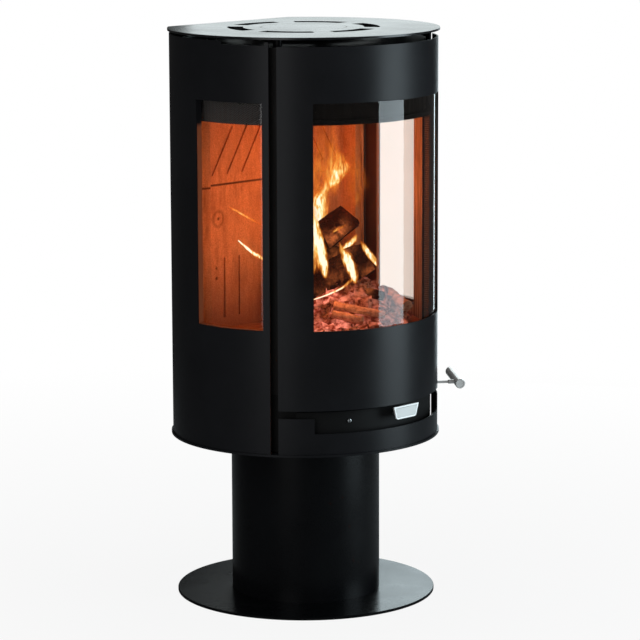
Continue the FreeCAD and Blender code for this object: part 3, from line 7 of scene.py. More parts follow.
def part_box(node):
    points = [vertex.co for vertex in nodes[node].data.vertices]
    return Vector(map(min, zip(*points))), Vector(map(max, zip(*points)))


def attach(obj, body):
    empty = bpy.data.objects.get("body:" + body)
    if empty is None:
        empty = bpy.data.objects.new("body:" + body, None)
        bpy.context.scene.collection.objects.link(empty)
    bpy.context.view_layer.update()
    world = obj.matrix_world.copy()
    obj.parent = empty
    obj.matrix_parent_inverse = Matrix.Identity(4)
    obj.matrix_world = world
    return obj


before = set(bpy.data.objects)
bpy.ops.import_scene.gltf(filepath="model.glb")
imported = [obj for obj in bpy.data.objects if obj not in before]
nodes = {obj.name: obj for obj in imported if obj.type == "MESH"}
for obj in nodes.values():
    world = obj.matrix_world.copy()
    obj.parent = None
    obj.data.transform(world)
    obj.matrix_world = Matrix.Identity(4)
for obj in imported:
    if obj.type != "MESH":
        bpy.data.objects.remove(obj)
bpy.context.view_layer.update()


# Pedestal: a round steel floor plate, a rolled tube and its flange ring, welded up and sprayed with a black
# heat-proof paint. The bolts that hold the stove down on the flange are zinc plated.
def feed(tree, given, socket):
    """Links a node's output to a socket, or sets the socket to a plain value or colour."""
    if isinstance(given, bpy.types.NodeSocket):
        tree.links.new(given, socket)
    elif socket.type == "RGBA":
        socket.default_value = (*given, 1)
    else:
        socket.default_value = given


def noise_node(tree, place, scale, detail=3.0, rough=0.55):
    node = tree.nodes.new("ShaderNodeTexNoise")
    for socket, given in (("Vector", place), ("Scale", scale), ("Detail", detail), ("Roughness", rough)):
        feed(tree, given, node.inputs[socket])
    return node.outputs["Fac"]


def spread(tree, value, low, high, start=0.3, end=0.7):
    """Spreads the values between start and end over the range from low to high."""
    node = tree.nodes.new("ShaderNodeMapRange")
    for socket, given in (("Value", value), ("From Min", start), ("From Max", end), ("To Min", low),
                          ("To Max", high)):
        feed(tree, given, node.inputs[socket])
    return node.outputs["Result"]


def beyond(tree, value, start=0.3, end=0.7):
    """Nothing up to the start, rising to one at the end."""
    return spread(tree, value, 0.0, 1.0, start, end)


def mix_colour(tree, share, first, second):
    node = tree.nodes.new("ShaderNodeMix")
    node.data_type = "RGBA"
    for number, given in ((0, share), (6, first), (7, second)):
        feed(tree, given, node.inputs[number])
    return node.outputs[2]


def math_node(tree, operation, first, second=0.0):
    node = tree.nodes.new("ShaderNodeMath")
    node.operation = operation
    feed(tree, first, node.inputs[0])
    feed(tree, second, node.inputs[1])
    return node.outputs[0]


def plus(tree, first, second):
    return math_node(tree, "ADD", first, second)


def times(tree, first, second):
    return math_node(tree, "MULTIPLY", first, second)


def object_coordinates(tree):
    return tree.nodes.new("ShaderNodeTexCoord").outputs["Object"]


def add_sockets(group, in_out, kind, *names):
    for name in names:
        group.interface.new_socket(name, in_out=in_out, socket_type=kind)


grain = bpy.data.node_groups.new("sprayed_grain", "ShaderNodeTree")
add_sockets(grain, "INPUT", "NodeSocketColor", "Colour", "Dust")
add_sockets(grain, "INPUT", "NodeSocketFloat", "Cloud Scale", "Grain Scale", "Smoothest", "Roughest")
add_sockets(grain, "OUTPUT", "NodeSocketColor", "Colour")
add_sockets(grain, "OUTPUT", "NodeSocketFloat", "Roughness", "Height")
grain_in = grain.nodes.new("NodeGroupInput").outputs
grain_out = grain.nodes.new("NodeGroupOutput").inputs
place = object_coordinates(grain)
clouds = noise_node(grain, place, grain_in["Cloud Scale"], detail=4.0)
specks = noise_node(grain, place, grain_in["Grain Scale"], detail=2.0, rough=0.6)
dusting = times(grain, beyond(grain, clouds, 0.35, 0.75), spread(grain, specks, 0.2, 1.0, 0.35, 0.7))
uneven = plus(grain, times(grain, clouds, 0.6), times(grain, specks, 0.4))
sheen = spread(grain, uneven, grain_in["Smoothest"], grain_in["Roughest"], 0.35, 0.65)
feed(grain, mix_colour(grain, dusting, grain_in["Colour"], grain_in["Dust"]), grain_out["Colour"])
feed(grain, sheen, grain_out["Roughness"])
feed(grain, specks, grain_out["Height"])


def finish_of(name, specular=0.5, metallic=0.0):
    """A new material, with its tree and its shader."""
    material = bpy.data.materials.new(name)
    material.use_nodes = True
    tree = material.node_tree
    shader = tree.nodes["Principled BSDF"]
    shader.inputs["Specular IOR Level"].default_value = specular
    shader.inputs["Metallic"].default_value = metallic
    return material, tree, shader


def add_bump(tree, shader, height, distance, strength=1.0):
    bump = tree.nodes.new("ShaderNodeBump")
    bump.inputs["Distance"].default_value = distance
    bump.inputs["Strength"].default_value = strength
    tree.links.new(height, bump.inputs["Height"])
    tree.links.new(bump.outputs["Normal"], shader.inputs["Normal"])


def sprayed(name, colour, dust, smoothest, roughest, specular, metallic=0.0, depth=0.00004, clouds=7.0,
            grains=900.0):
    """A sprayed, plated or cast finish: clouds of dust in the colour and a fine grain of the given depth."""
    material, tree, shader = finish_of(name, specular, metallic)
    group = tree.nodes.new("ShaderNodeGroup")
    group.node_tree = grain
    values = {"Colour": colour, "Dust": dust, "Cloud Scale": clouds, "Grain Scale": grains,
              "Smoothest": smoothest, "Roughest": roughest}
    for socket, given in values.items():
        feed(tree, given, group.inputs[socket])
    feed(tree, group.outputs["Colour"], shader.inputs["Base Color"])
    feed(tree, group.outputs["Roughness"], shader.inputs["Roughness"])
    add_bump(tree, shader, group.outputs["Height"], depth)
    return material


def dress(material, *names):
    for name in names:
        nodes[name].data.materials.clear()
        nodes[name].data.materials.append(material)


pedestal_paint = sprayed("pedestal_paint", (0.0028, 0.0030, 0.0036), (0.006, 0.0064, 0.0075),
                         smoothest=0.24, roughest=0.34, specular=0.16)
zinc = sprayed("zinc_plate", (0.55, 0.57, 0.58), (0.42, 0.43, 0.42), smoothest=0.28, roughest=0.5,
               specular=0.5, metallic=1.0, depth=0.00003, clouds=30.0, grains=500.0)
dress(pedestal_paint, "floor_plate", "pedestal_column", "pedestal_flange")
dress(zinc, "pedestal_bolts")


# Casing: the bottom plate, curved skirt, two curved side panels and flat rear panel in thin sheet, all
# sprayed satin black and screwed to brackets, with a zinc heat shield behind the firebox. The side panels
# carry painted firelight on the inside, up to the heads of their windows: an orange-red colour in place of
# the glow of the fire.
casing_paint = sprayed("casing_paint", (0.0080, 0.0084, 0.0098), (0.0135, 0.014, 0.0165),
                       smoothest=0.30, roughest=0.40, specular=0.19)
dress(casing_paint, "bottom_plate", "front_skirt", "rear_panel", "panel_brackets")
dress(zinc, "rear_heat_shield")


def up_to(tree, value, start=0.3, end=0.7):
    """One up to the start, falling to nothing at the end."""
    return spread(tree, value, 1.0, 0.0, start, end)


def axes(tree, place):
    """The X, Y and Z of a place in the stove's frame, or on a sheet's own map."""
    node = tree.nodes.new("ShaderNodeSeparateXYZ")
    tree.links.new(place, node.inputs[0])
    return node.outputs


def turned_radius(tree, place):
    """The distance from the stove's upright axis."""
    flat = tree.nodes.new("ShaderNodeVectorMath")
    flat.operation = "MULTIPLY"
    flat.inputs[1].default_value = (1.0, 1.0, 0.0)
    away = tree.nodes.new("ShaderNodeVectorMath")
    away.operation = "LENGTH"
    tree.links.new(place, flat.inputs[0])
    tree.links.new(flat.outputs[0], away.inputs[0])
    return away.outputs["Value"]


def recoloured(material, mask, colour):
    tree = material.node_tree
    base = tree.nodes["Principled BSDF"].inputs["Base Color"]
    feed(tree, mix_colour(tree, mask, base.links[0].from_socket, colour), base)


panel_inside = (0.2462, 0.2468)
window_head = (0.896, 0.904)
side_paint = casing_paint.copy()
side_paint.name = "side_panel_paint"
tree = side_paint.node_tree
place = object_coordinates(tree)
# Painted firelight: orange-red on the panels' inner faces below the window heads, in place of the fire's
# glow.
painted_firelight = times(tree, up_to(tree, turned_radius(tree, place), *panel_inside),
                 up_to(tree, axes(tree, place)["Z"], *window_head))
recoloured(side_paint, painted_firelight, (0.34, 0.10, 0.042))
dress(side_paint, "left_side_panel", "right_side_panel")


def link(made):
    bpy.context.scene.collection.objects.link(made)
    return made


def screw_head():
    """One round head with a hexagon socket, unit radius and unit height."""
    sides, step = 12, math.radians(30)
    profile = ((1.0, 0.0), (1.0, 0.32), (0.86, 0.76), (0.62, 1.0))
    socket = ((0.46, 1.0), (0.44, 0.42))
    shape = bmesh.new()
    rows = []
    for number, (radius, level) in enumerate(profile + socket):
        flat = 1.0 if number < len(profile) else math.cos(step)
        row = []
        for count in range(sides):
            angle = step * count
            reach = radius * (flat if count % 2 else 1.0)
            row.append(shape.verts.new((reach * math.cos(angle), reach * math.sin(angle), level)))
        rows.append(row)
    for low, high in zip(rows, rows[1:]):
        for count in range(sides):
            after = (count + 1) % sides
            shape.faces.new((low[count], low[after], high[after], high[count]))
    shape.faces.new(rows[-1])
    shape.faces.new(list(reversed(rows[0])))
    mesh = bpy.data.meshes.new("screw_head")
    shape.to_mesh(mesh)
    shape.free()
    return link(bpy.data.objects.new("screw_head", mesh))


def screw_rows(material):
    """Tree that sets one head on every point, square to the sheet that the screw holds."""
    tree = bpy.data.node_groups.new("screw_rows", "GeometryNodeTree")
    add_sockets(tree, "INPUT", "NodeSocketGeometry", "Places")
    add_sockets(tree, "INPUT", "NodeSocketFloat", "Head Radius", "Head Height")
    add_sockets(tree, "INPUT", "NodeSocketObject", "Head")
    add_sockets(tree, "OUTPUT", "NodeSocketGeometry", "Screws")
    start = tree.nodes.new("NodeGroupInput").outputs
    end = tree.nodes.new("NodeGroupOutput").inputs
    head = tree.nodes.new("GeometryNodeObjectInfo")
    facing = tree.nodes.new("GeometryNodeInputNamedAttribute")
    facing.data_type = "FLOAT_VECTOR"
    facing.inputs["Name"].default_value = "facing"
    turn = tree.nodes.new("FunctionNodeAlignRotationToVector")
    turn.axis = "Z"
    size = tree.nodes.new("ShaderNodeCombineXYZ")
    points = tree.nodes.new("GeometryNodeMeshToPoints")
    set_heads = tree.nodes.new("GeometryNodeInstanceOnPoints")
    plain = tree.nodes.new("GeometryNodeRealizeInstances")
    finish = tree.nodes.new("GeometryNodeSetMaterial")
    finish.inputs["Material"].default_value = material
    for source, target in ((start["Places"], points.inputs["Mesh"]),
                           (start["Head"], head.inputs["Object"]),
                           (start["Head Radius"], size.inputs["X"]),
                           (start["Head Radius"], size.inputs["Y"]),
                           (start["Head Height"], size.inputs["Z"]),
                           (facing.outputs["Attribute"], turn.inputs["Vector"]),
                           (points.outputs["Points"], set_heads.inputs["Points"]),
                           (head.outputs["Geometry"], set_heads.inputs["Instance"]),
                           (turn.outputs["Rotation"], set_heads.inputs["Rotation"]),
                           (size.outputs[0], set_heads.inputs["Scale"]),
                           (set_heads.outputs["Instances"], plain.inputs["Geometry"]),
                           (plain.outputs["Geometry"], finish.inputs["Geometry"]),
                           (finish.outputs["Geometry"], end["Screws"])):
        tree.links.new(source, target)
    return tree


def made_plain(carrier, tree, sizes):
    """The tree's result on the carrier as the carrier's own plain mesh, with no modifier left."""
    maker = carrier.modifiers.new(tree.name, "NODES")
    maker.node_group = tree
    for socket in tree.interface.items_tree:
        if socket.in_out == "INPUT" and socket.name in sizes:
            maker[socket.identifier] = sizes[socket.name]
    bpy.context.view_layer.update()
    graph = bpy.context.evaluated_depsgraph_get()
    mesh = bpy.data.meshes.new_from_object(carrier.evaluated_get(graph))
    carrier.modifiers.clear()
    carrier.data = mesh


def set_screws(name, places, radius, height):
    mesh = bpy.data.meshes.new(name)
    mesh.from_pydata([spot for spot, out in places], [], [])
    facing = mesh.attributes.new("facing", "FLOAT_VECTOR", "POINT")
    for count, (spot, out) in enumerate(places):
        facing.data[count].vector = out
    carrier = link(bpy.data.objects.new(name, mesh))
    head = screw_head()
    made_plain(carrier, screws, {"Head Radius": radius, "Head Height": height, "Head": head})
    bpy.data.objects.remove(head)
    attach(carrier, "stove_body")


screws = screw_rows(zinc)
edge_margin, top_margin = 0.012, 0.018
lowest_screw, screw_pitch = 0.330, 0.150
rear_edge, rear_face, rear_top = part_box("rear_panel")[1]
screw_levels = [lowest_screw + screw_pitch * count for count in range(5)] + [rear_top - top_margin]
rear_screws = [((side * (rear_edge - edge_margin), rear_face, level), (0, 1, 0))
               for side in (-1, 1) for level in screw_levels]
set_screws("rear_panel_screws", rear_screws, radius=0.0046, height=0.0024)


# Top: a thick laser-cut plate with ring slots for the warm air and a flush round cover over the unused
# outlet, on four spacers. The same paint, rubbed a little smoother where it is wiped.
top_paint = sprayed("top_paint", (0.008, 0.0085, 0.0098), (0.015, 0.016, 0.018),
                    smoothest=0.20, roughest=0.27, specular=0.5)
dress(top_paint, "top_plate", "flue_cover")
dress(casing_paint, "top_collar", "top_spacers")


# Air system: a welded steel box under the firebox with the dark plate behind the air slot, the valve plate
# and the stub pipe for fresh air from outside. Two screws hold the plate behind the slot.
duct_paint = sprayed("duct_paint", (0.006, 0.006, 0.0062), (0.011, 0.0105, 0.01),
                     smoothest=0.5, roughest=0.66, specular=0.15)
dress(duct_paint, "air_box", "slot_backplate", "air_valve_plate", "ash_floor")
dress(casing_paint, "air_spigot", "flue_spigot")
plate_round, plate_screw_level = 0.2345, 0.368
plate_screw_turns = [math.radians(angle) for angle in (-44, -26)]
plate_screws = [((plate_round * math.sin(turn), -plate_round * math.cos(turn), plate_screw_level),
                 (math.sin(turn), -math.cos(turn), 0)) for turn in plate_screw_turns]
set_screws("backplate_screws", plate_screws, radius=0.0042, height=0.0022)


# Firebox: a welded box of 4 mm steel, black from the oven. Inside the windows its walls carry a painted
# reflection of the fire, pale tan with lighter upright streaks that are painted highlights. The keeper of the
# latch and the brackets of the hinge have the same black, and the hinge pins are zinc plated.
oven_black, oven_dust = (0.010, 0.0100, 0.0102), (0.020, 0.0175, 0.016)
firebox_black = sprayed("firebox_black", oven_black, oven_dust, smoothest=0.5, roughest=0.7, specular=0.2)
dress(firebox_black, "firebox_back", "firebox_floor", "firebox_top", "upper_baffle", "ash_pan",
      "latch_keeper", "hinge_brackets")


def stretched(tree, place, scale):
    """The same place with a pattern drawn out along the axes that have a small scale."""
    node = tree.nodes.new("ShaderNodeMapping")
    node.inputs["Scale"].default_value = scale
    tree.links.new(place, node.inputs["Vector"])
    return node.outputs[0]


wall_inside = (0.2222, 0.2232)
painted_reflection_from = (0.48, 0.52)
painted_reflection_to = (0.915, 0.93)
painted_fire_reflection_steel, tree, shader = finish_of("steel_with_painted_fire_reflection", specular=0.2)
place = object_coordinates(tree)
level = axes(tree, place)["Z"]
inside = times(tree, up_to(tree, turned_radius(tree, place), *wall_inside),
               times(tree, beyond(tree, level, *painted_reflection_from), up_to(tree, level, *painted_reflection_to)))
painted_streaks = noise_node(tree, stretched(tree, place, (1.0, 1.0, 0.06)), 170.0, rough=0.6)
specks = noise_node(tree, place, 600.0, detail=2.0)
black = mix_colour(tree, beyond(tree, specks), oven_black, oven_dust)
# Painted reflection of the fire: pale tan on the walls' insides, with lighter upright streaks as painted
# highlights.
painted_fire_reflection = mix_colour(tree, beyond(tree, painted_streaks, 0.35, 0.65), (0.17, 0.12, 0.085), (0.60, 0.47, 0.36))
feed(tree, mix_colour(tree, inside, black, painted_fire_reflection), shader.inputs["Base Color"])
feed(tree, spread(tree, painted_streaks, 0.55, 0.8), shader.inputs["Roughness"])
add_bump(tree, shader, specks, distance=0.00006)
dress(painted_fire_reflection_steel, "firebox_front_frame", "firebox_left_wall", "firebox_right_wall")
dress(zinc, "hinge_pins")


# Lining: pressed vermiculite boards, buff with golden flakes and tinted orange as painted firelight, darker
# low down where the fire lies, with a faint ring, three dark dents and the joint of the two back boards. The
# lower baffle is of the same board, and the grate in the floor is cast iron.
def minus(tree, first, second):
    return math_node(tree, "SUBTRACT", first, second)


def apart(tree, first, second):
    return math_node(tree, "ABSOLUTE", minus(tree, first, second))


def from_spot(tree, point, across, level):
    """How far a point of the back boards lies from a spot on them."""
    beside = minus(tree, point["X"], across)
    above = minus(tree, point["Z"], level)
    return math_node(tree, "SQRT", plus(tree, times(tree, beside, beside), times(tree, above, above)))


lining, tree, shader = finish_of("vermiculite", specular=0.2)
place = object_coordinates(tree)
point = axes(tree, place)
flakes = noise_node(tree, place, 420.0, detail=2.0, rough=0.7)
stains = noise_node(tree, place, 9.0, detail=4.0, rough=0.6)
streaks = noise_node(tree, stretched(tree, place, (1.0, 1.0, 0.22)), 60.0, detail=4.0, rough=0.65)
# Partly painted firelight: the buff board colours are tinted orange in place of the fire's glow.
boards = mix_colour(tree, beyond(tree, flakes), (0.50, 0.245, 0.10), (0.78, 0.43, 0.195))
smoke = times(tree, spread(tree, stains, 0.15, 1.0, 0.35, 0.65), spread(tree, streaks, 0.0, 0.95, 0.4, 0.68))
smoky = mix_colour(tree, smoke, boards, (0.26, 0.115, 0.05))
# The boards turn darker towards the bottom, by height, made ragged by the stains.
darker_low_level = (0.56, 0.70)
low_darkening = up_to(tree, plus(tree, point["Z"], times(tree, stains, 0.12)), *darker_low_level)
darkened_low = mix_colour(tree, times(tree, low_darkening, 0.75), smoky, (0.17, 0.07, 0.033))
ring_centre, ring_radius = (-0.151, 0.716), 0.0205
wander = plus(tree, from_spot(tree, point, *ring_centre), times(tree, streaks, 0.014))
marks = spread(tree, apart(tree, wander, ring_radius), 0.36, 0.0, 0.001, 0.0042)
for across, level, reach in ((*ring_centre, 0.0035), (-0.157, 0.605, 0.0035), (-0.157, 0.624, 0.003)):
    ragged = plus(tree, from_spot(tree, point, across, level), times(tree, flakes, 0.004))
    marks = math_node(tree, "MAXIMUM", marks, spread(tree, ragged, 0.8, 0.0, reach, reach + 0.003))
joint_level, joint_fades = 0.779, (-0.03, 0.06)
joint = times(tree, spread(tree, point["X"], 1.0, 0.15, *joint_fades),
              spread(tree, apart(tree, point["Z"], joint_level), 0.85, 0.0, 0.0012, 0.0026))
marks = math_node(tree, "MAXIMUM", marks, joint)
feed(tree, mix_colour(tree, marks, darkened_low, (0.05, 0.018, 0.010)), shader.inputs["Base Color"])
feed(tree, spread(tree, flakes, 0.75, 0.95), shader.inputs["Roughness"])
add_bump(tree, shader, flakes, distance=0.0004, strength=0.6)
dress(lining, "back_lining_lower", "back_lining_upper", "left_side_lining", "right_side_lining",
      "floor_lining", "lower_baffle")

cast_iron = sprayed("cast_iron", (0.018, 0.016, 0.015), (0.06, 0.045, 0.035), smoothest=0.55, roughest=0.8,
                    specular=0.3, depth=0.0003, clouds=30.0, grains=260.0)
dress(cast_iron, "grate")


# Side windows: curved 4 mm ceramic glass with a faint warm haze, bearing on braided grey rope in the side
# panels' openings and held by small spring clips.
glass, tree, shader = finish_of("ceramic_glass", specular=0.4)
shader.inputs["Transmission Weight"].default_value = 1.0
shader.inputs["IOR"].default_value = 1.47
haze = noise_node(tree, object_coordinates(tree), 14.0, detail=4.0)
feed(tree, mix_colour(tree, beyond(tree, haze), (0.985, 0.90, 0.845), (0.965, 0.875, 0.815)),
     shader.inputs["Base Color"])
feed(tree, spread(tree, haze, 0.0, 0.012), shader.inputs["Roughness"])


def braided(name, dark, pale):
    material, tree, shader = finish_of(name, specular=0.2)
    strands = tree.nodes.new("ShaderNodeTexWave")
    strands.wave_type = "BANDS"
    strands.bands_direction = "DIAGONAL"
    strands.inputs["Scale"].default_value = 160.0
    strands.inputs["Distortion"].default_value = 2.0
    tree.links.new(object_coordinates(tree), strands.inputs["Vector"])
    strand = strands.outputs["Fac"]
    feed(tree, mix_colour(tree, strand, dark, pale), shader.inputs["Base Color"])
    feed(tree, spread(tree, strand, 0.75, 0.95, 0.0, 1.0), shader.inputs["Roughness"])
    add_bump(tree, shader, strand, distance=0.0008)
    return material


grey_rope = braided("grey_rope", dark=(0.10, 0.101, 0.104), pale=(0.20, 0.202, 0.207))
dress(glass, "left_side_glass", "right_side_glass")
dress(grey_rope, "left_glass_gasket", "right_glass_gasket")
dress(zinc, "left_glass_clips", "right_glass_clips")


# Embers: a heap of charcoal lumps on the floor boards, glowing red under a skin of pale ash. The fire is laid
# corner-wise behind the door, so its own right and back are turned by an angle from the stove's.
fire_cos, fire_sin = 0.6922, 0.7217
bed_level, heap_height, heap_crown = 0.5135, 74, 0.12
heap_right, heap_back = 85, 16
heap_half_width, heap_half_depth = 118, 108


def heap_level(x, y):
    """The height of the embers at a point, a smooth heap with small waves."""
    right = (fire_cos * x - fire_sin * y) * 1000
    back = (fire_sin * x + fire_cos * y) * 1000
    away = math.hypot((right - heap_right) / heap_half_width, (back - heap_back) / heap_half_depth)
    slope = min(max((away - heap_crown) / (1 - heap_crown), 0.0), 1.0)
    heap = heap_height * (1 - slope * slope * (3 - 2 * slope))
    return bed_level + heap / 1000 + 0.004 * noise.noise(Vector((x * 40, y * 40, 3.0)))


def bed_sheet():
    """The sheet under the lumps, kept inside the round lining and cut off at its back left corner."""
    columns, rows = 48, 50
    left, front, width, depth = -0.098, -0.168, 0.276, 0.236
    lining_reach, corner_start, corner_slope = 0.193, 0.068, 0.9
    spots, faces = [], []
    for row in range(rows + 1):
        for column in range(columns + 1):
            x, y = left + width * column / columns, front + depth * row / rows
            away = math.hypot(x, y)
            if away > lining_reach:
                x, y = x * lining_reach / away, y * lining_reach / away
            if x < 0.0:
                y = min(y, corner_start + corner_slope * x)
            spots.append((x, y, heap_level(x, y)))
    for row in range(rows):
        for column in range(columns):
            first = row * (columns + 1) + column
            faces.append((first, first + 1, first + columns + 2, first + columns + 1))
    mesh = bpy.data.meshes.new("ember_bed")
    mesh.from_pydata(spots, [], faces)
    shape = bmesh.new()
    shape.from_mesh(mesh)
    bmesh.ops.remove_doubles(shape, verts=shape.verts, dist=0.0004)
    bmesh.ops.dissolve_degenerate(shape, edges=shape.edges, dist=0.0002)
    shape.to_mesh(mesh)
    shape.free()
    return mesh


def ember_lumps(material):
    """Tree that strews charcoal lumps of mixed sizes over the bed and keeps the bed under them."""
    tree = bpy.data.node_groups.new("ember_lumps", "GeometryNodeTree")
    add_sockets(tree, "INPUT", "NodeSocketGeometry", "Bed")
    add_sockets(tree, "INPUT", "NodeSocketFloat", "Lumps per Area", "Smallest", "Largest")
    add_sockets(tree, "INPUT", "NodeSocketInt", "Seed")
    add_sockets(tree, "OUTPUT", "NodeSocketGeometry", "Embers")
    start = tree.nodes.new("NodeGroupInput").outputs
    end = tree.nodes.new("NodeGroupOutput").inputs
    strew = tree.nodes.new("GeometryNodeDistributePointsOnFaces")
    lump = tree.nodes.new("GeometryNodeMeshCube")
    lump.inputs["Size"].default_value = (2.6, 1.5, 1.2)
    for side in ("Vertices X", "Vertices Y", "Vertices Z"):
        lump.inputs[side].default_value = 3
    size = tree.nodes.new("FunctionNodeRandomValue")
    size.data_type = "FLOAT_VECTOR"
    low, high = tree.nodes.new("ShaderNodeCombineXYZ"), tree.nodes.new("ShaderNodeCombineXYZ")
    turn = tree.nodes.new("FunctionNodeRandomValue")
    turn.data_type = "FLOAT_VECTOR"
    turn.inputs[0].default_value = (-0.5, -0.5, 0.0)
    turn.inputs[1].default_value = (0.5, 0.5, 6.28)
    set_lumps = tree.nodes.new("GeometryNodeInstanceOnPoints")
    both = tree.nodes.new("GeometryNodeJoinGeometry")
    plain = tree.nodes.new("GeometryNodeRealizeInstances")
    crumble = tree.nodes.new("GeometryNodeSetPosition")
    waves = tree.nodes.new("ShaderNodeTexNoise")
    waves.inputs["Scale"].default_value = 85.0
    waves.inputs["Detail"].default_value = 1.0
    centred = tree.nodes.new("ShaderNodeVectorMath")
    centred.operation = "SUBTRACT"
    centred.inputs[1].default_value = (0.5, 0.5, 0.5)
    shift = tree.nodes.new("ShaderNodeVectorMath")
    shift.operation = "SCALE"
    shift.inputs["Scale"].default_value = 0.0105
    facets = tree.nodes.new("GeometryNodeSetShadeSmooth")
    facets.inputs["Shade Smooth"].default_value = False
    finish = tree.nodes.new("GeometryNodeSetMaterial")
    finish.inputs["Material"].default_value = material
    for axis in "XYZ":
        tree.links.new(start["Smallest"], low.inputs[axis])
        tree.links.new(start["Largest"], high.inputs[axis])
    for source, target in ((start["Bed"], strew.inputs["Mesh"]),
                           (start["Lumps per Area"], strew.inputs["Density"]),
                           (start["Seed"], strew.inputs["Seed"]),
                           (start["Seed"], size.inputs["Seed"]),
                           (low.outputs[0], size.inputs[0]),
                           (high.outputs[0], size.inputs[1]),
                           (waves.outputs["Color"], centred.inputs[0]),
                           (centred.outputs[0], shift.inputs[0]),
                           (shift.outputs[0], crumble.inputs["Offset"]),
                           (strew.outputs["Points"], set_lumps.inputs["Points"]),
                           (lump.outputs["Mesh"], set_lumps.inputs["Instance"]),
                           (turn.outputs[0], set_lumps.inputs["Rotation"]),
                           (size.outputs[0], set_lumps.inputs["Scale"]),
                           (set_lumps.outputs["Instances"], both.inputs["Geometry"]),
                           (start["Bed"], both.inputs["Geometry"]),
                           (both.outputs["Geometry"], plain.inputs["Geometry"]),
                           (plain.outputs["Geometry"], crumble.inputs["Geometry"]),
                           (crumble.outputs["Geometry"], facets.inputs["Geometry"]),
                           (facets.outputs["Geometry"], finish.inputs["Geometry"]),
                           (finish.outputs["Geometry"], end["Embers"])):
        tree.links.new(source, target)
    return tree


glow_fades = (0.062, 0.120)
embers, tree, shader = finish_of("glowing_embers", specular=0.1)
place = object_coordinates(tree)
heat = noise_node(tree, place, 22.0, detail=2.0, rough=0.5)
ash = noise_node(tree, place, 70.0, detail=3.0, rough=0.5)
feed(tree, mix_colour(tree, beyond(tree, ash, 0.4, 0.62), (0.05, 0.026, 0.018), (0.44, 0.27, 0.19)),
     shader.inputs["Base Color"])
along_ends = tree.nodes.new("ShaderNodeVectorMath")
along_ends.operation = "DOT_PRODUCT"
along_ends.inputs[1].default_value = (fire_cos, -fire_sin, 0.0)
tree.links.new(place, along_ends.inputs[0])
glow = times(tree, beyond(tree, heat, 0.36, 0.56), spread(tree, ash, 0.25, 1.0, 0.36, 0.60))
glow = times(tree, glow, spread(tree, along_ends.outputs["Value"], 1.0, 0.25, *glow_fades))
ember_red = mix_colour(tree, beyond(tree, ash, 0.42, 0.64), (0.46, 0.045, 0.018), (0.92, 0.31, 0.24))
feed(tree, mix_colour(tree, glow, (0.03, 0.005, 0.0015), ember_red), shader.inputs["Emission Color"])
shader.inputs["Emission Strength"].default_value = 1.05
feed(tree, spread(tree, ash, 0.8, 1.0), shader.inputs["Roughness"])
add_bump(tree, shader, ash, distance=0.002)
lump_sizes = {"Lumps per Area": 3000.0, "Smallest": 0.0055, "Largest": 0.0175, "Seed": 5}
bed = link(bpy.data.objects.new("ember_bed", bed_sheet()))
made_plain(bed, ember_lumps(embers), lump_sizes)
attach(bed, "stove_body")


# Logs: four split billets stacked on the embers, charred black and checked by the fire, and glowing at the
# spots where the flames lick them.
def hearth(right, back, level):
    """A point of the fire in millimetres, counted along the log ends, along the logs, and up."""
    return Vector((fire_cos * right + fire_sin * back, fire_cos * back - fire_sin * right, level)) / 1000


def marked(tree, name):
    """A value that is marked on the piece's own points."""
    node = tree.nodes.new("ShaderNodeAttribute")
    node.attribute_name = name
    return node.outputs["Fac"]


char, tree, shader = finish_of("charred_wood", specular=0.15)
place = object_coordinates(tree)
checks = tree.nodes.new("ShaderNodeTexVoronoi")
checks.feature = "DISTANCE_TO_EDGE"
checks.inputs["Scale"].default_value = 75.0
tree.links.new(place, checks.inputs["Vector"])
from_crack = checks.outputs["Distance"]
fibres = noise_node(tree, place, 160.0, detail=4.0, rough=0.65)
patches = noise_node(tree, place, 32.0)
coal = mix_colour(tree, beyond(tree, fibres), (0.008, 0.0036, 0.0030), (0.032, 0.0090, 0.0058))
feed(tree, mix_colour(tree, spread(tree, patches, 0.0, 0.7, 0.5, 0.7), coal, (0.048, 0.016, 0.009)),
     shader.inputs["Base Color"])
crack_glow = times(tree, up_to(tree, from_crack, 0.0, 0.11), 0.07)
patch_glow = times(tree, beyond(tree, patches, 0.44, 0.66), spread(tree, fibres, 0.25, 1.0))
glow = times(tree, marked(tree, "warmth"), plus(tree, crack_glow, patch_glow))
char_red = mix_colour(tree, glow, (0.004, 0.0008, 0.0002), (0.86, 0.23, 0.065))
feed(tree, char_red, shader.inputs["Emission Color"])
shader.inputs["Emission Strength"].default_value = 0.9
feed(tree, spread(tree, fibres, 0.7, 0.95), shader.inputs["Roughness"])
checked = plus(tree, times(tree, fibres, 0.4), beyond(tree, from_crack, 0.0, 0.12))
add_bump(tree, shader, checked, distance=0.0012)


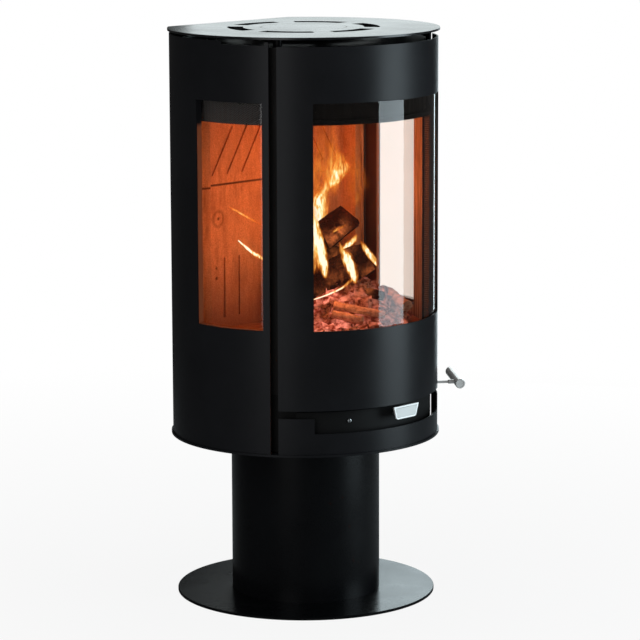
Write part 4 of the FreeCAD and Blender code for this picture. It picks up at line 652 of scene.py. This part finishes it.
def billet(name, near, far, corners, hot, seed, material=char, rough=0.0024):
    """A cornered section swept from the near to the far end and weathered, with heat marked on its points.

    The places and corners are in millimetres, and each hot spot is a place, its reach and its power."""
    near, far = hearth(*near), hearth(*far)
    axis = far - near
    length = axis.length
    axis.normalize()
    side = axis.cross(Vector((0, 0, 1))).normalized()
    rise = side.cross(axis)
    edge_steps, ring_pitch, end_rings = 6, 0.006, (0.0, 0.3, 0.6, 0.86)
    sharp = []
    for count, (a, b) in enumerate(corners):
        c, d = corners[(count + 1) % len(corners)]
        sharp += [((a + (c - a) * step / edge_steps) / 1000, (b + (d - b) * step / edge_steps) / 1000)
                  for step in range(edge_steps)]
    turns = len(sharp)
    section = []
    for count, (a, b) in enumerate(sharp):
        before, after = sharp[count - 1], sharp[(count + 1) % turns]
        section.append(((before[0] + 18 * a + after[0]) / 20, (before[1] + 18 * b + after[1]) / 20))
    rings = max(int(length / ring_pitch), 6)
    stations = [(0.0, share) for share in end_rings]
    stations += [(count / rings, 1.0) for count in range(rings + 1)]
    stations += [(1.0, share) for share in reversed(end_rings)]
    shape = bmesh.new()
    warmth = shape.verts.layers.float.new("warmth")
    rows = []
    for along, share in stations:
        row = []
        for a, b in section if share else section[:1]:
            across = side * a + rise * b
            spot = near + axis * length * along + across * share
            if share == 1.0:
                wave = noise.noise(spot * 34 + Vector((seed, 0, 0)))
                wave += 0.5 * noise.noise(spot * 90 + Vector((0, seed, 0)))
                check = max(0.0, 0.25 - abs(noise.noise(spot * 52 + Vector((0, 0, seed))))) * 2.4
                spot = spot + across.normalized() * rough * (wave - check)
            else:
                spot = spot + axis * (0.0022 * noise.noise(spot * 70)) * (1 if along else -1)
            vert = shape.verts.new(spot)
            vert[warmth] = sum(power * math.exp(-((spot - hearth(*centre)).length / (reach / 1000)) ** 2)
                               for centre, reach, power in hot)
            row.append(vert)
        rows.append(row)
    for number, (low, high) in enumerate(zip(rows, rows[1:])):
        for count in range(turns):
            after = (count + 1) % turns
            around = (low[count % len(low)], low[after % len(low)], high[after % len(high)],
                      high[count % len(high)])
            face = shape.faces.new(list(dict.fromkeys(around)))
            face.smooth = len(end_rings) <= number < len(rows) - 1 - len(end_rings)
    bmesh.ops.recalc_face_normals(shape, faces=shape.faces)
    mesh = bpy.data.meshes.new(name)
    shape.to_mesh(mesh)
    shape.free()
    mesh.materials.append(material)
    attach(link(bpy.data.objects.new(name, mesh)), "stove_body")


billet("top_log", (62, -25, 699), (58, 105, 672), [(6, 38), (43, 4), (-15, -43), (-41, 5)],
       [((66, -25, 693), 13, 1.5), ((56, -24, 672), 15, 0.8), ((45, -22, 662), 16, 1.0)], seed=1.0)
billet("right_log", (102, -15, 628), (102, 92, 608), [(-28, 28), (5, 35), (31, -14), (-2, -34), (-25, 0)],
       [((130, -12, 608), 18, 0.7), ((80, -14, 652), 16, 0.9), ((104, -15, 598), 16, 0.6)], seed=4.0)
billet("left_log", (84, -2, 618), (-52, 20, 552), [(-29, -25), (25, -30), (30, 24), (-23, 30)],
       [((64, -28, 578), 24, 0.7), ((22, -26, 556), 20, 0.5), ((84, -16, 606), 24, 0.7),
        ((-30, -10, 536), 26, 0.5)], seed=7.0)
billet("under_log", (60, 22, 628), (66, 104, 616), [(-24, -24), (22, -22), (26, 20), (-20, 24)],
       [((60, 22, 620), 30, 0.8)], seed=9.0)


# Sticks: thin round kindling with its bark half burnt, lying across the front and the right of the heap. The
# one at the back is charred through like the logs.
def round_section(radius):
    turns = [count * math.pi / 4 for count in range(8)]
    return [(radius * math.cos(turn), radius * math.sin(turn)) for turn in turns]


stick_wood, tree, shader = finish_of("burning_sticks", specular=0.15)
place = object_coordinates(tree)
bark = noise_node(tree, place, 120.0, detail=4.0, rough=0.65)
spots = noise_node(tree, place, 40.0)
feed(tree, mix_colour(tree, beyond(tree, bark), (0.20, 0.11, 0.065), (0.72, 0.49, 0.34)),
     shader.inputs["Base Color"])
glow = times(tree, marked(tree, "warmth"), beyond(tree, spots))
feed(tree, mix_colour(tree, glow, (0.012, 0.003, 0.001), (0.80, 0.20, 0.05)), shader.inputs["Emission Color"])
shader.inputs["Emission Strength"].default_value = 0.7
feed(tree, spread(tree, bark, 0.75, 0.95), shader.inputs["Roughness"])
add_bump(tree, shader, bark, distance=0.0012)
billet("front_stick", (148, -68, 536), (54, -72, 556), round_section(8.0), [((100, -60, 525), 30, 0.5)],
       seed=2.0, material=stick_wood, rough=0.0015)
billet("pale_stick", (108, -98, 531), (50, -94, 543), round_section(7.5), [((60, -80, 520), 20, 0.3)],
       seed=5.0, material=stick_wood, rough=0.0015)
billet("back_stick", (148, -16, 562), (86, -8, 580), round_section(9.5), [((110, -14, 570), 24, 0.6)],
       seed=3.0, rough=0.002)
billet("right_stick", (192, -26, 545), (158, 42, 562), round_section(11.0), [((176, 6, 546), 18, 0.3)],
       seed=6.0, material=stick_wood, rough=0.002)


# Flames: thin sheets of burning gas that rise from the logs, bowed like leaves, clear at their edges and
# white hot inside. Small lamps give the light that they and the embers throw on the lining.
flame, tree, shader = finish_of("flame", specular=0.0)
shader.inputs["Base Color"].default_value = (0, 0, 0, 1)
shader.inputs["Roughness"].default_value = 1.0
place = object_coordinates(tree)
sheet_uv = tree.nodes.new("ShaderNodeUVMap")
sheet_uv.uv_map = "flame_sheet"
on_sheet = axes(tree, sheet_uv.outputs[0])
licks = noise_node(tree, stretched(tree, place, (1.0, 1.0, 0.35)), 95.0)
sway = times(tree, minus(tree, licks, 0.5), 0.55)
off_centre = apart(tree, times(tree, plus(tree, on_sheet["X"], sway), 2.0), 1.0)
body_of_flame = up_to(tree, off_centre, 0.05, 1.0)
body_of_flame.node.interpolation_type = "SMOOTHSTEP"
tip = up_to(tree, plus(tree, on_sheet["Y"], times(tree, sway, 0.5)), 0.45, 1.0)
root = beyond(tree, on_sheet["Y"], 0.0, 0.16)
vein_noise = noise_node(tree, stretched(tree, place, (1.0, 1.0, 0.22)), 190.0, detail=2.0, rough=0.5)
veins = spread(tree, vein_noise, 0.45, 1.1, 0.36, 0.60)
power = marked(tree, "power")
density = times(tree, times(tree, body_of_flame, tip), times(tree, times(tree, root, veins), power))
ramp = tree.nodes.new("ShaderNodeValToRGB")
stops = ramp.color_ramp.elements
stops[0].position = 0.0
stops[0].color = (0.85, 0.14, 0.010, 1)
stops[1].position = 1.0
stops[1].color = (1.0, 0.94, 0.76, 1)
for share, colour in ((0.26, (1.0, 0.30, 0.030, 1)), (0.54, (1.0, 0.55, 0.12, 1)),
                      (0.78, (1.0, 0.78, 0.36, 1))):
    stops.new(share).color = colour
tree.links.new(density, ramp.inputs["Fac"])
tree.links.new(ramp.outputs["Color"], shader.inputs["Emission Color"])
shader.inputs["Emission Strength"].default_value = 1.35
feed(tree, beyond(tree, density, 0.0, 0.8), shader.inputs["Alpha"])

flames = bmesh.new()
sheet = flames.loops.layers.uv.new("flame_sheet")
powers = flames.verts.layers.float.new("power")


def tongue(path, strength):
    """A sheet of flame, bowed like a leaf, along a path of (right, back, level, half width) points."""
    rows, columns, bow, least_width = 22, 8, 0.7, 0.3
    knots = [path[0]] + list(path) + [path[-1]]
    grid = []
    for row in range(rows + 1):
        whole = min(row / rows * (len(path) - 1), len(path) - 1.0001)
        first, part = int(whole), whole - int(whole)
        a, b, c, d = (Vector(knots[first + step]) for step in range(4))
        right, back, level, width = 0.5 * (2 * b + (c - a) * part + (2 * a - 5 * b + 4 * c - d) * part ** 2
                                           + (3 * b - a - 3 * c + d) * part ** 3)
        width = max(width, least_width)
        verts = []
        for column in range(columns + 1):
            offset = 2 * column / columns - 1
            bowed = back + (offset ** 2 - 0.5) * bow * width
            vert = flames.verts.new(hearth(right + offset * width, bowed, level))
            vert[powers] = strength
            verts.append(vert)
        grid.append(verts)
    for row in range(rows):
        for column in range(columns):
            corners = ((column, row), (column + 1, row), (column + 1, row + 1), (column, row + 1))
            face = flames.faces.new([grid[v][u] for u, v in corners])
            face.smooth = True
            for loop, (u, v) in zip(face.loops, corners):
                loop[sheet].uv = (u / columns, v / rows)


for path, strength in (
        ([(39, -37, 600, 5), (36, -37, 618, 12), (32, -37, 642, 15), (26, -36, 672, 14), (18, -35, 704, 12),
          (12, -33, 738, 9), (10, -30, 772, 3)], 1.7),
        ([(12, -30, 606, 12), (14, -28, 640, 20), (12, -24, 690, 20), (14, -18, 730, 16),
          (20, -12, 776, 3)], 0.8),
        ([(28, 4, 690, 10), (26, 8, 716, 22), (30, 14, 742, 21), (38, 18, 764, 13), (42, 20, 790, 2)], 1.2),
        ([(94, -37, 590, 4), (91, -36, 606, 10), (85, -35, 626, 14), (77, -34, 644, 12), (70, -34, 657, 7),
          (65, -33, 668, 2)], 1.8),
        ([(-14, -42, 553, 4), (15, -42, 561, 5), (47, -41, 572, 5.5), (77, -40, 588, 6),
          (93, -37, 606, 4)], 2.0),
        ([(48, 36, 758, 6), (57, 38, 776, 19), (66, 40, 794, 24), (68, 41, 812, 17), (62, 42, 844, 3)], 1.0),
        ([(56, 46, 742, 10), (50, 47, 788, 22), (56, 48, 822, 18), (52, 49, 852, 13),
          (60, 50, 900, 2)], 0.45),
        ([(96, 46, 720, 12), (100, 48, 770, 24), (92, 50, 820, 20), (98, 52, 880, 3)], 0.22),
        ([(20, 52, 740, 14), (24, 53, 790, 30), (32, 54, 840, 26), (30, 55, 895, 4)], 0.28),
        ([(135, -34, 622, 2), (128, -34, 634, 7), (119, -33, 648, 9), (111, -32, 660, 7),
          (104, -32, 672, 2)], 1.5),
        ([(70, -35, 654, 3), (82, -35, 663, 10), (91, -34, 673, 9), (98, -33, 686, 2)], 1.3),
        ([(52, -32, 685, 2), (61, -32, 691, 7), (70, -32, 697, 7), (79, -32, 702, 2)], 0.45),
        ([(-132, -20, 678, 2), (-114, -20, 662, 4), (-100, -20, 650, 7), (-84, -20, 638, 9),
          (-62, -20, 626, 4)], 1.7),
        ([(-140, -75, 742, 2), (-124, -75, 733, 6), (-106, -75, 722, 7), (-90, -75, 713, 7),
          (-70, -75, 702, 4)], 0.6)):
    tongue(path, strength)
flame_mesh = bpy.data.meshes.new("flames")
flames.to_mesh(flame_mesh)
flames.free()
flame_mesh.materials.append(flame)
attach(link(bpy.data.objects.new("flames", flame_mesh)), "stove_body")


def firelight(name, place, power, radius, colour):
    lamp = bpy.data.lights.new(name, "POINT")
    lamp.energy = power
    lamp.shadow_soft_size = radius
    lamp.color = colour
    made = link(bpy.data.objects.new(name, lamp))
    made.location = place
    made.visible_camera = made.visible_glossy = made.visible_transmission = False


firelight("flame_light", hearth(92, -40, 800), power=1.1, radius=0.05, colour=(1.0, 0.24, 0.045))
firelight("left_flame_light", (-0.168, -0.080, 0.720), power=0.46, radius=0.05, colour=(1.0, 0.25, 0.048))
firelight("ember_light", hearth(70, -110, 600), power=0.20, radius=0.04, colour=(1.0, 0.30, 0.10))


# Door: a curved sheet skin on a welded inner tray, a curved pane bearing on rope, lugs for the hinge pins and
# a small boss under its right end for the handle. The rope that seals the door is near black above a level
# at its top.
dress(casing_paint, "door_skin", "handle_boss")
dress(firebox_black, "door_tray", "door_left_sill", "door_right_sill", "door_hinge_lugs")
dress(glass, "door_glass")
glass_tape = braided("glass_tape", dark=(0.42, 0.34, 0.28), pale=(0.68, 0.58, 0.50))
brown_rope = braided("browned_rope", dark=(0.16, 0.10, 0.065), pale=(0.40, 0.28, 0.19))
rope_dark_level = (0.890, 0.902)
# The rope turns near black above this level.
tree = brown_rope.node_tree
recoloured(brown_rope, beyond(tree, axes(tree, object_coordinates(tree))["Z"], *rope_dark_level),
           (0.014, 0.013, 0.013))
dress(glass_tape, "door_glass_gasket")
dress(brown_rope, "door_rope_gasket")


# Handle: a turned spindle and a cross bar in polished stainless steel, near white and partly matt as a
# painted reflection of white surroundings. The spindle turns in the boss under the door and carries the
# black finger that latches.
# Painted reflection: a near-white colour at low metallic stands in for the white surroundings mirrored in the
# steel.
polished_with_painted_reflection = sprayed("polished_steel", (0.93, 0.92, 0.90), (0.82, 0.81, 0.80), smoothest=0.14, roughest=0.24,
                   specular=0.6, metallic=0.40, depth=0.00001, clouds=20.0, grains=700.0)
dress(polished_with_painted_reflection, "handle_spindle", "handle_bar")
dress(firebox_black, "latch_finger")


# Air control: a bright steel tab with a raised rim round a brushed field, on a zinc plated stem that slides
# the damper plate.
half_bottom, half_top = 0.026, 0.033
rim_width = (0.0026, 0.0034)
tab_bottom, tab_top = (corner[2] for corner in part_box("air_tab"))
tab_steel, tree, shader = finish_of("brushed_steel", specular=0.5, metallic=0.6)
place = object_coordinates(tree)
point = axes(tree, place)
half_width = spread(tree, point["Z"], half_bottom, half_top, tab_bottom, tab_top)
from_side = minus(tree, half_width, math_node(tree, "ABSOLUTE", point["X"]))
from_ends = math_node(tree, "MINIMUM", minus(tree, point["Z"], tab_bottom), minus(tree, tab_top, point["Z"]))
rim = up_to(tree, math_node(tree, "MINIMUM", from_side, from_ends), *rim_width)
lines = noise_node(tree, stretched(tree, place, (0.06, 1.0, 1.0)), 1400.0, detail=2.0)
field = mix_colour(tree, lines, (0.52, 0.52, 0.51), (0.66, 0.66, 0.65))
feed(tree, mix_colour(tree, rim, field, (0.90, 0.90, 0.89)), shader.inputs["Base Color"])
feed(tree, spread(tree, lines, 0.42, 0.58), shader.inputs["Roughness"])
add_bump(tree, shader, plus(tree, rim, times(tree, lines, 0.02)), distance=0.0006)
dress(tab_steel, "air_tab")
dress(zinc, "air_stem", "air_damper")


# Studio: a round sheet of pale paper, white surroundings, a tall soft box to the front right, a weak one on
# the left, and two behind on the right, a large one for the top plate and a low one for the foot. The camera
# has a long lens and looks down a little from the front left.
paper_radius, paper_sides = 2.4, 64
paper_rim = [(paper_radius * math.cos(turn * math.pi / 32), paper_radius * math.sin(turn * math.pi / 32), 0)
             for turn in range(paper_sides)]
floor_mesh = bpy.data.meshes.new("studio_floor")
floor_mesh.from_pydata(paper_rim, [], [tuple(range(paper_sides))])
floor = link(bpy.data.objects.new("studio_floor", floor_mesh))


def seen_white(tree, rays):
    """One for a ray that looks at the background straight or through glass, nothing after a reflection."""
    bounced = plus(tree, rays["Glossy Depth"], rays["Diffuse Depth"])
    straight = minus(tree, 1.0, math_node(tree, "MINIMUM", bounced, 1.0))
    through = times(tree, rays["Is Transmission Ray"], straight)
    return math_node(tree, "MAXIMUM", rays["Is Camera Ray"], through)


paper = bpy.data.materials.new("studio_paper")
paper.use_nodes = True
tree = paper.node_tree
tree.nodes.clear()
out = tree.nodes.new("ShaderNodeOutputMaterial")
matt = tree.nodes.new("ShaderNodeBsdfDiffuse")
matt.inputs["Color"].default_value = (0.42, 0.42, 0.42, 1)
bright = tree.nodes.new("ShaderNodeEmission")
both = tree.nodes.new("ShaderNodeMixShader")
shadow_fades = (0.3, 2.3)
shadowless = spread(tree, turned_radius(tree, object_coordinates(tree)), 0.90, 1.0, *shadow_fades)
rays = tree.nodes.new("ShaderNodeLightPath").outputs
feed(tree, times(tree, seen_white(tree, rays), shadowless), both.inputs[0])
tree.links.new(matt.outputs[0], both.inputs[1])
tree.links.new(bright.outputs[0], both.inputs[2])
tree.links.new(both.outputs[0], out.inputs["Surface"])
floor_mesh.materials.append(paper)

world_light, world_mirrored = 0.40, 0.035
world = bpy.data.worlds.new("studio")
bpy.context.scene.world = world
world.use_nodes = True
tree = world.node_tree
sky = tree.nodes["Background"]
sky.inputs["Color"].default_value = (1, 1, 1, 1)
rays = tree.nodes.new("ShaderNodeLightPath").outputs
mirrored = math_node(tree, "MINIMUM", rays["Glossy Depth"], 1.0)
unseen = minus(tree, world_light, times(tree, mirrored, world_light - world_mirrored))
feed(tree, math_node(tree, "MAXIMUM", seen_white(tree, rays), unseen), sky.inputs["Strength"])


def soft_box(name, place, aim, width, height, power, colour):
    lamp = bpy.data.lights.new(name, "AREA")
    lamp.shape = "RECTANGLE"
    lamp.size = width
    lamp.size_y = height
    lamp.energy = power
    lamp.color = colour
    made = link(bpy.data.objects.new(name, lamp))
    made.location = place
    made.rotation_euler = (Vector(aim) - Vector(place)).to_track_quat("-Z", "Y").to_euler()
    made.visible_camera = made.visible_transmission = False


soft_box("soft_box_right", (1.06, -1.70, 0.75), aim=(0, 0, 0.75), width=0.98, height=1.5, power=24,
         colour=(0.78, 0.93, 1.0))
soft_box("soft_box_left", (-2.2, -0.8, 1.0), aim=(0, 0, 0.8), width=1.2, height=2.0, power=9,
         colour=(0.96, 0.98, 1.0))
soft_box("soft_box_back", (1.755, 1.059, 1.55), aim=(0, 0, 0.9), width=1.6, height=1.3, power=9.6,
         colour=(0.90, 0.99, 1.0))
soft_box("soft_box_low", (1.79, 1.02, 0.45), aim=(0, 0, 0.3), width=0.8, height=0.9, power=7,
         colour=(0.80, 0.95, 1.0))

camera_data = bpy.data.cameras.new("camera")
camera_data.sensor_width = 36.0
camera_data.lens = 172.39
camera_data.clip_end = 200.0
camera = link(bpy.data.objects.new("camera", camera_data))
camera_place = (-4.0717, -3.9436, 1.5002)
azimuth, tilt, roll = math.radians(46.203), math.radians(-9.857), math.radians(-0.195)
ahead = Vector((math.cos(tilt) * math.sin(azimuth), math.cos(tilt) * math.cos(azimuth), math.sin(tilt)))
level = Vector((math.cos(azimuth), -math.sin(azimuth), 0.0))
rise = level.cross(ahead)
across = level * math.cos(roll) + rise * math.sin(roll)
above = across.cross(ahead)
turn = Matrix((across, above, -ahead)).transposed().to_4x4()
camera.matrix_world = Matrix.Translation(camera_place) @ turn
bpy.context.scene.camera = camera
bpy.context.scene.view_settings.view_transform = "Standard"
